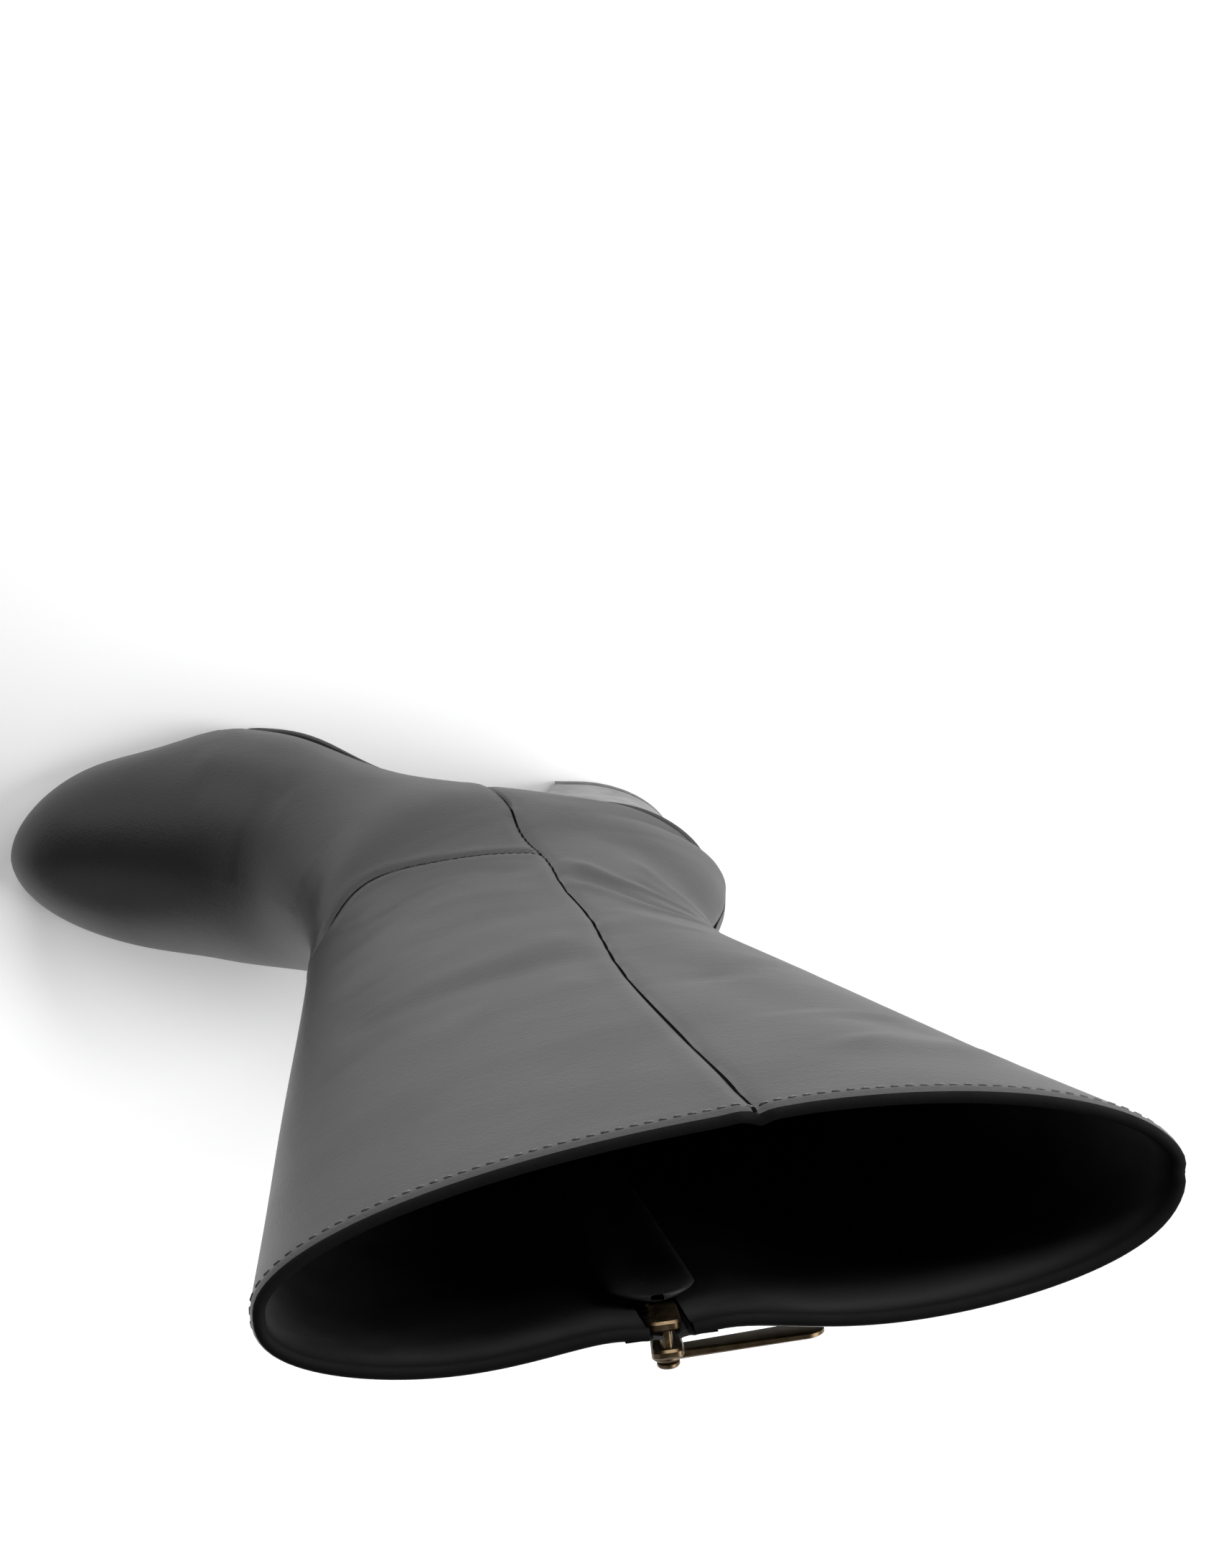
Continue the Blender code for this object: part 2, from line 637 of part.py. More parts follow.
def make_heel(material, parent):
    """The block fills the space between its top piece and the underside of the sole."""
    base = TOP_PIECE + GAP
    rings = []
    for row in heel_rows():
        plan = heel_plan(row["back"], row["breast"], row["half_width"])
        seat = sole_bottom(plan[:, 0]) - GAP
        height = base + (seat - base) * row["share"]
        rings.append(np.column_stack([plan, height]))
    return make_stack("heel", rings, material, parent)


def make_top_piece(material, parent):
    row = heel_rows()[0]
    rings = []
    for height, inset in ((0.0, TOP_PIECE_CHAMFER), (TOP_PIECE_CHAMFER, 0.0), (TOP_PIECE, 0.0)):
        plan = heel_plan(row["back"], row["breast"], row["half_width"], inset)
        rings.append(np.column_stack([plan, np.full(len(plan), height)]))
    return make_stack("heel_top_piece", rings, material, parent)


def zip_places(bottom, top):
    """Rows of the upper's mesh between two places on the zip, with the two ends added."""
    between = [place for place in upper_places() if bottom + FRAME_STEP < place < top - FRAME_STEP]
    return [bottom, *between, top]


def make_zip_chain(material, parent):
    """Tapes with the closed teeth as one ridge between them, from the slit's foot up to the slider."""
    front_half = [(TEETH_HALF, -TEETH_IN), (TEETH_HALF, -TAPE_DEPTH), (TAPE_HALF, -TAPE_DEPTH),
                  (TAPE_HALF, 0.0), (TEETH_HALF, 0.0), (TEETH_HALF, TEETH_OUT)]
    profile = front_half + [(-across, depth) for across, depth in reversed(front_half)]
    top = zip_place(SLIDER_HEIGHT - SLIDER_LENGTH / 2.0 - GAP)
    rings = []
    for place in zip_places(KNOTS[ZIP_FOOT_ROW] + GAP, top):
        point, front, out, _ = zip_frame(place)
        rings.append(np.array([point + front * across + out * depth for across, depth in profile]))
    return make_stack("zip_chain", rings, material, parent)


def make_zip_guard(material, parent):
    """Leather strip inside the shaft that keeps the zip off the leg."""
    outer_face = []
    inner_face = []
    for place in zip_places(zip_place(GUARD_BOTTOM), zip_place(GUARD_TOP)):
        outer_row = []
        inner_row = []
        for across in np.linspace(-GUARD_HALF, GUARD_HALF, GUARD_CROSS_STEPS + 1):
            point, _, out, _ = zip_frame(place, across)
            outer_row.append(point - out * GUARD_DEPTH)
            inner_row.append(point - out * (GUARD_DEPTH + GUARD_THICKNESS))
        outer_face.append(outer_row)
        inner_face.append(inner_row)
    return make_slab("zip_guard", np.array(outer_face), np.array(inner_face), material, parent)


def cylinder(radius, start, end, drop):
    """Rings of a round pin along Y."""
    turn = np.linspace(0.0, 2.0 * math.pi, PIN_STEPS, endpoint=False)
    rings = []
    for out in (start, end):
        ring = np.column_stack([radius * np.cos(turn), np.full(PIN_STEPS, out), radius * np.sin(turn) - drop])
        rings.append(ring)
    return rings


def hide_tool(tool):
    tool.hide_render = True
    tool.display_type = "WIRE"


def join_or_cut(target, tool, operation):
    step = target.modifiers.new(tool.name, "BOOLEAN")
    step.operation = operation
    step.solver = "EXACT"
    step.object = tool
    hide_tool(tool)


def make_slider(material, parent):
    """Two plates on a post, with a headed stud on the outer plate. X is across, Y outwards, Z along the zip."""
    low_in, high_in = INNER_PLATE
    low_out, high_out = OUTER_PLATE
    rings = []
    for end, half in ((-0.5, SLIDER_FOOT_HALF), (0.0, SLIDER_HALF), (0.5, SLIDER_HALF)):
        right = ((half, low_in), (half, high_in), (POST_HALF, high_in),
                 (POST_HALF, low_out), (half, low_out), (half, high_out))
        outline = list(right) + [(-across, out) for across, out in reversed(right)]
        rings.append(np.array([(across, out, end * SLIDER_LENGTH) for across, out in outline]))
    slider = make_stack("zip_slider", rings, material, parent)
    stud_rings = cylinder(STUD_RADIUS, high_out - JOIN_OVERLAP, STUD_HEAD - JOIN_OVERLAP, STUD_DROP)
    stud = make_stack("stud", stud_rings, material, parent)
    head = make_stack("stud_head", cylinder(STUD_HEAD_RADIUS, STUD_TOP, STUD_HEAD, STUD_DROP), material, parent)
    join_or_cut(slider, stud, "UNION")
    join_or_cut(slider, head, "UNION")
    return slider


def tab_outline():
    """Plan of the pull tab: a round eye at the origin, a neck and a wider round end along -X."""
    start = math.asin(TAB_NECK_HALF / TAB_EYE_OUTER)
    turn = np.linspace(math.pi - start, start - math.pi, 2 * TAB_ROUND_STEPS)
    eye = [(TAB_EYE_OUTER * math.cos(a), TAB_EYE_OUTER * math.sin(a)) for a in turn]
    end_centre = TAB_END_HALF - TAB_LENGTH
    turn = np.linspace(-math.pi / 2.0, -1.5 * math.pi, TAB_ROUND_STEPS)
    end = [(end_centre + TAB_END_HALF * math.cos(a), TAB_END_HALF * math.sin(a)) for a in turn]
    return eye + end


def make_pull_tab(material, parent):
    """Flat metal tab, thinner towards its end, turning on the stud."""
    plan = tab_outline()
    near = []
    far = []
    for along, across in plan:
        share = min(max(-along / TAB_LENGTH, 0.0), 1.0)
        thickness = TAB_ROOT_THICKNESS + (TAB_END_THICKNESS - TAB_ROOT_THICKNESS) * share
        near.append((along, 0.0, across))
        far.append((along, thickness, across))
    tab = make_stack("zip_pull", [np.array(near), np.array(far)], material, parent)
    eye_rings = cylinder(TAB_EYE, -CUT_PAST, TAB_ROOT_THICKNESS + CUT_PAST, 0.0)
    drill = make_stack("tab_eye", eye_rings, material, parent)
    join_or_cut(tab, drill, "DIFFERENCE")
    return tab


def make_empty(name, parent=None):
    empty = bpy.data.objects.new(name, None)
    bpy.context.scene.collection.objects.link(empty)
    empty.parent = parent
    return empty


def place_on_zip(empty, height):
    """Put an empty on the outer face at the zip, its axes to the front, outwards and upwards."""
    point, front, out, up = zip_frame(zip_place(height))
    turn = Matrix((front, out, up)).transposed()
    empty.location = Vector(point) * MM
    empty.rotation_euler = turn.to_euler()


def centre_over_floor(root, pieces):
    """Move the boot so that the middle of its box, at floor level, is the origin."""
    bpy.context.view_layer.update()
    graph = bpy.context.evaluated_depsgraph_get()
    corners = []
    for piece in pieces:
        evaluated = piece.evaluated_get(graph)
        corners += [evaluated.matrix_world @ Vector(corner) for corner in evaluated.bound_box]
    for axis in range(2):
        low = min(corner[axis] for corner in corners)
        high = max(corner[axis] for corner in corners)
        root.location[axis] = -(low + high) / 2.0


for old in list(bpy.data.objects):
    bpy.data.objects.remove(old, do_unlink=True)

boot = make_empty("boot")
slider_seat = make_empty("slider_seat", boot)
place_on_zip(slider_seat, SLIDER_HEIGHT)
tab_hinge = make_empty("tab_hinge", slider_seat)
tab_hinge.location = Vector((0.0, TAB_NEAR, -STUD_DROP)) * MM
tab_hinge.rotation_euler = (0.0, -math.radians(TAB_DROOP_DEG), 0.0)

black_calf = make_material("black_calf", (0.022, 0.021, 0.021), 0.42)
edge_dressed_sole = make_material("edge_dressed_sole", (0.018, 0.017, 0.017), 0.45)
lacquered_heel = make_material("lacquered_heel", (0.020, 0.020, 0.020), 0.38)
black_rubber = make_material("black_rubber", (0.015, 0.015, 0.015), 0.70)
sock_leather = make_material("sock_leather", (0.030, 0.029, 0.028), 0.60)
guard_leather = make_material("guard_leather", (0.030, 0.029, 0.029), 0.55)
zip_metal = make_material("zip_metal", (0.14, 0.10, 0.055), 0.40, 1.0)
slider_brass = make_material("slider_brass", (0.36, 0.24, 0.11), 0.32, 1.0)
tab_brass = make_material("tab_brass", (0.36, 0.24, 0.11), 0.30, 1.0)

boot_pieces = [
    make_upper(black_calf, boot),
    make_insole(sock_leather, boot),
    make_outsole(edge_dressed_sole, boot),
    make_heel(lacquered_heel, boot),
    make_top_piece(black_rubber, boot),
    make_zip_chain(zip_metal, boot),
    make_zip_guard(guard_leather, boot),
    make_slider(slider_brass, slider_seat),
    make_pull_tab(tab_brass, tab_hinge),
]
centre_over_floor(boot, boot_pieces)
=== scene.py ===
"""Tall black boot for the right foot: the looks of each piece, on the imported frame.

X runs from the heel to the toe, Y from the outer side of the foot to the inner side, Z up from the floor.
Sizes are in millimetres, measured from the back of the heel, and become metres when a mesh is made.
"""
import math

import bmesh
import bpy
import numpy as np
from mathutils import Matrix, Vector


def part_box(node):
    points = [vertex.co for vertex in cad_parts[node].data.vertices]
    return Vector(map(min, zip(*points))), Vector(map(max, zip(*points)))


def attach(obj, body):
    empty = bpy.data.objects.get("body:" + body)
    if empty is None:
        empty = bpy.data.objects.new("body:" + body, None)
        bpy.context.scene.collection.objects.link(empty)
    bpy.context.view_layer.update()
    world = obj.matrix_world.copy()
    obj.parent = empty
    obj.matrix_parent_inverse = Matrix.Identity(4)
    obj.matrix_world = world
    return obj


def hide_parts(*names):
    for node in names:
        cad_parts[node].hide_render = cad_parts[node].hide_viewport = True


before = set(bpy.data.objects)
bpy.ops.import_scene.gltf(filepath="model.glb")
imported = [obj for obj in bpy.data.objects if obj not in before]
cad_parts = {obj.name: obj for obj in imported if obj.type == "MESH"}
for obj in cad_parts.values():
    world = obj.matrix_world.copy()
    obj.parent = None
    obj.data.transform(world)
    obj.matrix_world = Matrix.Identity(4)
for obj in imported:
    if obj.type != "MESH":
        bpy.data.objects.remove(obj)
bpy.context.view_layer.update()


# UPPER. Vamp, front panel and back panels of black calf, closed with plain seams at the ankle, the sides and the
# back, drawn wet over the last and turned under at the feather line. It takes the last's shape section by section,
# and sets into soft folds where it was pulled round the ankle.
MM = 0.001
PERCENT = 0.01
ROUND_OFF = 1e-6
BOOT_HEIGHT = 420.0
FOOT_LENGTH = 242.0
BALL_WIDTH = 80.0
INSTEP_HEIGHT = 145.0
HEEL_HEIGHT = 57.0
TOE_SPRING = 7.5
WALL = 2.2
FEATHER_GAP = 0.5
SEAT_END = 36.0
TREAD_START = 168.0
TREAD_END = 185.0
FOREPART_SOLE = 4.4
SEAT_SOLE = 3.0
HEEL_BACK = 9.6

# Lengths are per cent of FOOT_LENGTH, rises of INSTEP_HEIGHT, widths and axes of BALL_WIDTH
FOOT_COLUMNS = ("low", "high", "rise", "low_axis", "high_axis", "outer", "inner", "belly",
                "outer_feather", "inner_feather", "rounding", "flat", "zip", "follow")
FOOT_SECTIONS = (
    (70.5, 99.6, 8.3, -3.6, 1.0, 48.0, 45.0, 0.01, 48.0, 45.0, 1.84, 0.100, 0.30, 1.0),
    (69.9, 100.0, 13.4, -3.6, 1.0, 50.4, 47.0, 0.03, 48.0, 45.0, 1.84, 0.100, 0.30, 0.8),
    (69.3, 99.3, 19.0, -3.7, 0.8, 51.0, 47.6, 0.06, 48.1, 45.0, 1.85, 0.100, 0.30, 0.6),
    (68.7, 96.5, 25.2, -3.7, 0.4, 51.3, 47.8, 0.09, 48.2, 45.0, 1.87, 0.088, 0.30, 0.4),
    (68.1, 91.1, 30.7, -3.8, 0.0, 51.4, 47.9, 0.13, 48.3, 45.0, 1.90, 0.060, 0.30, 0.2),
    (67.5, 82.6, 35.9, -3.9, -0.5, 51.5, 48.0, 0.18, 48.4, 45.1, 1.92, 0.027, 0.30, 0.1),
    (66.8, 74.4, 41.7, -3.9, -0.9, 51.6, 48.0, 0.23, 48.6, 45.1, 1.92, 0.0, 0.30, 0.0),
    (66.1, 66.5, 50.0, -4.0, -1.2, 51.6, 48.0, 0.27, 48.6, 45.0, 1.90, 0.0, 0.28, 0.0),
    (59.1, 60.7, 60.0, -3.5, -0.6, 50.2, 47.0, 0.27, 46.6, 42.6, 1.85, 0.0, 0.26, 0.0),
    (51.2, 57.2, 70.3, -2.5, 1.2, 45.4, 43.1, 0.30, 40.6, 37.0, 1.85, 0.0, 0.24, 0.0),
    (42.6, 55.2, 79.3, -1.2, 3.8, 43.0, 40.0, 0.32, 36.4, 33.2, 1.88, 0.0, 0.22, 0.0),
    (32.6, 54.3, 86.9, -0.6, 6.2, 44.2, 39.5, 0.35, 35.4, 32.0, 1.90, 0.0, 0.21, 0.0),
    (21.9, 53.9, 92.4, 0.0, 8.1, 45.2, 39.8, 0.38, 34.4, 32.0, 1.88, 0.0, 0.262, 0.0),
    (11.6, 53.7, 96.2, 0.0, 9.4, 44.6, 38.9, 0.41, 30.4, 29.1, 1.82, 0.0, 0.41, 0.0),
    (5.0, 53.7, 98.3, 0.0, 10.0, 43.2, 38.4, 0.43, 20.0, 19.6, 1.78, 0.0, 0.461, 0.0),
    (1.2, 53.6, 100.0, 0.0, 10.4, 42.2, 38.1, 0.44, 0.0, 0.0, 1.76, 0.0, 0.484, 0.0),
)
# Rises are per cent of the way from the instep to the collar
SHAFT_COLUMNS = ("back", "back_rise", "front", "front_rise", "back_axis", "front_axis", "outer", "inner",
                 "belly", "outer_rounding", "inner_rounding", "dent", "lip", "zip")
SHAFT_SECTIONS = (
    (-0.4, -22.9, 53.6, 1.1, 0.0, 11.0, 40.2, 36.9, 0.45, 1.76, 1.80, 0.0, 0.0, 0.512),
    (0.9, -13.8, 53.6, 2.5, 0.0, 11.6, 37.6, 35.6, 0.46, 1.80, 1.85, 0.0, 0.0, 0.522),
    (2.9, -4.7, 53.5, 5.5, 0.0, 12.5, 35.8, 34.5, 0.47, 1.86, 1.90, 0.0, 0.0, 0.504),
    (3.9, 5.5, 53.3, 10.9, 0.0, 13.8, 34.5, 33.6, 0.48, 1.92, 1.95, 0.6, 0.0, 0.494),
    (2.5, 18.2, 53.0, 20.0, -1.5, 15.0, 33.5, 32.5, 0.48, 1.95, 2.05, 1.2, 0.0, 0.507),
    (-1.8, 32.7, 52.6, 33.1, -4.5, 15.6, 33.0, 31.2, 0.47, 1.98, 2.15, 2.5, 0.0, 0.524),
    (-9.4, 58.2, 51.7, 58.2, -11.5, 15.0, 31.9, 30.0, 0.46, 2.0, 2.30, 4.4, 0.0, 0.53),
    (-15.5, 81.8, 50.6, 81.8, -18.8, 12.5, 31.2, 29.0, 0.44, 2.0, 2.50, 6.2, 0.6, 0.54),
    (-21.2, 100.0, 49.8, 100.0, -24.0, 9.2, 30.9, 28.2, 0.43, 2.0, 2.60, 8.1, 2.8, 0.55),
)
PAST_CLOSING = 20.0
CLOSED_ROW = len(FOOT_SECTIONS) - 1
ZIP_FOOT_ROW = len(FOOT_SECTIONS) - 3
FLAT_CENTRE = 0.36
FLAT_SPREAD = 0.30
DENT_SPREAD = 0.17
LIP_SPREAD = 0.05
EVEN_REACH = 38.0
EVEN_SPREAD = 40.0
EVEN_PAST_CLOSING = 6.0
EVEN_WEIGHTS = (1.0, 6.0, 15.0, 20.0, 15.0, 6.0, 1.0)
EVEN_FADE_LOW = 0.25
EVEN_FADE_HIGH = 0.12
RIDGE_WEIGHT = 0.6
SHORTEST_KNOT = 3.0
CURVE_SAMPLES = 150
FRAME_STEP = 1.0

heel_low, heel_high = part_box("heel_top_piece")
boot_place = np.array([heel_low.x / MM - HEEL_BACK, (heel_low.y + heel_high.y) / 2.0 / MM, 0.0])


def smooth(share):
    share = np.clip(share, 0.0, 1.0)
    return share * share * (3.0 - 2.0 * share)


def bell(distance):
    """1 at no distance, fading smoothly away on both sides."""
    return np.exp(-(distance**2))


def sole_rise(x):
    """How far the shank has climbed from the tread to the heel seat, 0 to 1."""
    return smooth((TREAD_START - x) / (TREAD_START - SEAT_END))


def sole_thickness(x):
    return FOREPART_SOLE + (SEAT_SOLE - FOREPART_SOLE) * sole_rise(x)


def sole_bottom(x):
    spring = np.clip((x - TREAD_END) / (FOOT_LENGTH - TREAD_END), 0.0, 1.0)
    return HEEL_HEIGHT * sole_rise(x) + TOE_SPRING * spring**2


def sole_top(x):
    return sole_bottom(x) + sole_thickness(x)


def toe_sag(x):
    """How far the sole's toe spring dips below a straight line from the ball to the toe tip."""
    ball = FOOT_SECTIONS[0][FOOT_COLUMNS.index("low")] * PERCENT * FOOT_LENGTH
    along = np.clip((x - ball) / (FOOT_LENGTH - ball), 0.0, 1.0)
    straight = sole_top(ball) + (sole_top(FOOT_LENGTH) - sole_top(ball)) * along
    return np.where(along > 0.0, sole_top(x) - straight, 0.0)


def last_sections():
    """The last's sections in millimetres, one dictionary each, from the toe tip to the collar."""
    rows = []
    width = PERCENT * BALL_WIDTH
    length = PERCENT * FOOT_LENGTH
    climb = PERCENT * (BOOT_HEIGHT - INSTEP_HEIGHT)
    for values in FOOT_SECTIONS:
        cut = dict(zip(FOOT_COLUMNS, values))
        rows.append({
            "low_x": cut["low"] * length,
            "low_y": cut["low_axis"] * width,
            "low_z": sole_top(cut["low"] * length) + FEATHER_GAP,
            "high_x": cut["high"] * length,
            "high_y": cut["high_axis"] * width,
            "high_z": cut["rise"] * PERCENT * INSTEP_HEIGHT,
            "outer": cut["outer"] * width,
            "inner": cut["inner"] * width,
            "belly": cut["belly"],
            "outer_feather_squared": (cut["outer_feather"] * width) ** 2,
            "inner_feather_squared": (cut["inner_feather"] * width) ** 2,
            "outer_rounding": cut["rounding"],
            "inner_rounding": cut["rounding"],
            "dent": 0.0,
            "lip": 0.0,
            "flat": cut["flat"],
            "zip": cut["zip"],
            "follow": cut["follow"],
        })
    for values in SHAFT_SECTIONS:
        cut = dict(zip(SHAFT_COLUMNS, values))
        rows.append({
            "low_x": cut["back"] * length,
            "low_y": cut["back_axis"] * width,
            "low_z": INSTEP_HEIGHT + cut["back_rise"] * climb,
            "high_x": cut["front"] * length,
            "high_y": cut["front_axis"] * width,
            "high_z": INSTEP_HEIGHT + cut["front_rise"] * climb,
            "outer": cut["outer"] * width,
            "inner": cut["inner"] * width,
            "belly": cut["belly"],
            "outer_feather_squared": -(PAST_CLOSING * width) ** 2,
            "inner_feather_squared": -(PAST_CLOSING * width) ** 2,
            "outer_rounding": cut["outer_rounding"],
            "inner_rounding": cut["inner_rounding"],
            "dent": cut["dent"] * width,
            "lip": cut["lip"] * width,
            "flat": 0.0,
            "zip": cut["zip"],
            "follow": 0.0,
        })
    return rows


def smooth_curve(knots, values):
    """A function that runs smoothly through the values at the knots, for every column of values at once."""
    knots = np.asarray(knots, float)
    values = np.asarray(values, float)
    count = len(knots)
    step = np.diff(knots)
    matrix = np.eye(count)
    right = np.zeros_like(values)
    for i in range(1, count - 1):
        matrix[i, i - 1] = step[i - 1]
        matrix[i, i] = 2.0 * (step[i - 1] + step[i])
        matrix[i, i + 1] = step[i]
        rise_after = (values[i + 1] - values[i]) / step[i]
        rise_before = (values[i] - values[i - 1]) / step[i - 1]
        right[i] = 6.0 * (rise_after - rise_before)
    bend = np.linalg.solve(matrix, right)

    def at(place):
        place = np.clip(place, knots[0], knots[-1])
        i = np.clip(np.searchsorted(knots, place, side="right") - 1, 0, count - 2)
        before = (knots[i + 1] - place) / step[i]
        after = 1.0 - before
        straight = before * values[i] + after * values[i + 1]
        curved = (before**3 - before) * bend[i] + (after**3 - after) * bend[i + 1]
        return straight + curved * step[i] ** 2 / 6.0

    return at


SECTION_ROWS = last_sections()
SECTION_NAMES = tuple(SECTION_ROWS[0])
SECTION_VALUES = np.array([list(row.values()) for row in SECTION_ROWS])
section_lows = SECTION_VALUES[:, 0:3]
section_middles = section_lows + (SECTION_VALUES[:, 3:6] - section_lows) * RIDGE_WEIGHT
section_gaps = np.linalg.norm(np.diff(section_middles, axis=0), axis=1)
KNOTS = np.concatenate([[0.0], np.cumsum(np.maximum(section_gaps, SHORTEST_KNOT))])
CLOSED_AT = KNOTS[CLOSED_ROW]
ZIP_FOOT = KNOTS[ZIP_FOOT_ROW]
section_values_at = smooth_curve(KNOTS, SECTION_VALUES)


def section(place):
    """The last's section at a distance along the boot from the toe tip."""
    row = dict(zip(SECTION_NAMES, section_values_at(place)))
    still_open = place < CLOSED_AT - ROUND_OFF
    if still_open:
        row["low_z"] = sole_top(row["low_x"]) + FEATHER_GAP
    for side in ("outer", "inner"):
        squared = max(row[side + "_feather_squared"], 0.0)
        row[side + "_feather"] = math.sqrt(squared) if still_open else 0.0
    return row


def half_girth(row, side):
    """Half a section from the ridge down to the feather line, and each point's share of the way back up."""
    name = "outer" if side < 0 else "inner"
    turn = np.linspace(0.0, math.pi / 2.0, CURVE_SAMPLES)
    width = row[name]
    feather = min(row[name + "_feather"], width)
    rounding = row[name + "_rounding"]
    belly = row["belly"]
    sine = np.clip(np.sin(turn), 0.0, 1.0)
    cosine = np.clip(np.cos(turn), 0.0, 1.0)
    power = 2.0 / rounding
    turned_in = 1.0 - (feather / width) ** rounding
    share_above = belly + (1.0 - belly) * cosine**power
    reach_above = width * sine**power
    share_below = belly * (1.0 - sine**power)
    reach_below = width * (1.0 - turned_in * sine**2) ** (1.0 / rounding)
    share = np.concatenate([share_above, share_below[1:]])
    reach = np.concatenate([reach_above, reach_below[1:]])
    if side > 0:
        from_zip = share - row["zip"]
        reach = reach - row["dent"] * bell(from_zip / DENT_SPREAD)
        reach = reach + row["lip"] * bell(from_zip / LIP_SPREAD)
    else:
        reach = reach * (1.0 - row["flat"] * bell((share - FLAT_CENTRE) / FLAT_SPREAD))
    low = np.array([row["low_x"], row["low_y"], row["low_z"]])
    high = np.array([row["high_x"], row["high_y"], row["high_z"]])
    points = low + (high - low) * share[:, None]
    points[:, 1] += side * reach
    points[:, 2] += row["follow"] * toe_sag(points[:, 0])
    return points, share


def drawn_girth(place, side):
    """Half a section as half_girth gives it, evened out with its neighbours along the boot near the ankle."""
    points, share = half_girth(section(place), side)
    reach = EVEN_REACH * bell((place - CLOSED_AT - EVEN_PAST_CLOSING) / EVEN_SPREAD)
    if reach < FRAME_STEP:
        return points, share
    evened = np.zeros_like(points)
    for weight, offset in zip(EVEN_WEIGHTS, np.linspace(-reach, reach, len(EVEN_WEIGHTS))):
        evened += weight * half_girth(section(place + offset), side)[0]
    evened /= sum(EVEN_WEIGHTS)
    blend = smooth(share / EVEN_FADE_LOW) * smooth((1.0 - share) / EVEN_FADE_HIGH)
    return points + (evened - points) * blend[:, None], share


def arc_lengths(points):
    steps = np.linalg.norm(np.diff(points, axis=0), axis=1)
    return np.concatenate([[0.0], np.cumsum(steps)])


def at_stops(points, stops, wanted):
    """Points at the wanted stops, between points that lie at the given ones."""
    return np.stack([np.interp(wanted, stops, points[:, axis]) for axis in range(3)], axis=-1)


def at_arc(points, wanted):
    """Points at the wanted distances along a polyline."""
    return at_stops(points, arc_lengths(points), wanted)


def zip_arc(points, share, zip_share):
    """Distance from the front line to the zip along the inner half of a section."""
    return float(np.interp(-zip_share, -share, arc_lengths(points)))


# The leather's mesh: a row about every millimetre and a half, and steps round each part of the girth
ROW_STEP = 1.45
OUTER_STEPS = 112
FRONT_STEPS = 48
SLIT_STEPS = 6
BACK_STEPS = 52
SLIT_FRONT = OUTER_STEPS + FRONT_STEPS
SLIT_BACK = SLIT_FRONT + SLIT_STEPS
SLIT_HALF = 4.4
COLLAR_ROLL = 1.2


def girth(place):
    """One row of the upper's outer face, from the outer feather edge over the ridge to the inner one.

    Returns the points and the distance of each from the feather edge or the back line along the leather.
    """
    outer, _ = drawn_girth(place, -1.0)
    inner, share = drawn_girth(place, 1.0)
    outer_length = arc_lengths(outer)[-1]
    inner_length = arc_lengths(inner)[-1]
    zip_at = zip_arc(inner, share, section(place)["zip"])
    back_start = zip_at + SLIT_HALF
    outer_stops = outer_length * np.linspace(1.0, 0.0, OUTER_STEPS + 1)
    front_stops = (zip_at - SLIT_HALF) * np.linspace(0.0, 1.0, FRONT_STEPS + 1)[1:]
    slit_stops = zip_at + SLIT_HALF * np.linspace(-1.0, 1.0, SLIT_STEPS + 1)[1:]
    back_stops = back_start + (inner_length - back_start) * np.linspace(0.0, 1.0, BACK_STEPS + 1)[1:]
    inner_stops = np.concatenate([front_stops, slit_stops, back_stops])
    points = np.concatenate([at_arc(outer, outer_stops), at_arc(inner, inner_stops)])
    from_low = np.concatenate([outer_length - outer_stops, inner_length - inner_stops])
    return points, from_low


row_count = int((KNOTS[-1] - COLLAR_ROLL) / ROW_STEP)
places = np.linspace(0.0, KNOTS[-1] - COLLAR_ROLL, row_count + 1)
girths = [girth(place) for place in places]
last_face = np.array([points for points, _ in girths])
from_low = np.array([distance for _, distance in girths])
ROWS, COLUMNS = last_face.shape[:2]
closed_rows = places > CLOSED_AT
foot_row = int(np.searchsorted(places, ZIP_FOOT))
on_outer = np.arange(COLUMNS) <= OUTER_STEPS


def unit(vectors):
    """Vectors of length one in the same directions."""
    return vectors / np.maximum(np.linalg.norm(vectors, axis=-1, keepdims=True), ROUND_OFF)


def face_normals(grid):
    """Unit vectors out of a grid of points on the upper, the same on both sides of the back line."""
    along = np.gradient(grid, axis=0)
    across = np.gradient(grid, axis=1)
    normal = unit(np.cross(across, along))
    at_back = unit(normal[:, 0] + normal[:, -1])
    normal[closed_rows, 0] = at_back[closed_rows]
    normal[closed_rows, -1] = at_back[closed_rows]
    return normal


def seam_distance(level):
    """Distance from a seam along the leather, with its sign, from a level that is zero on the seam."""
    along = np.gradient(last_face, axis=0)
    across = np.gradient(last_face, axis=1)
    by_row = np.gradient(level, axis=0)
    by_column = np.gradient(level, axis=1)
    row_row = (along * along).sum(axis=2)
    row_column = (along * across).sum(axis=2)
    column_column = (across * across).sum(axis=2)
    area = np.maximum(row_row * column_column - row_column**2, ROUND_OFF)
    slope = column_column * by_row**2 - 2.0 * row_column * by_row * by_column + row_row * by_column**2
    return level / np.sqrt(np.maximum(slope / area, ROUND_OFF))


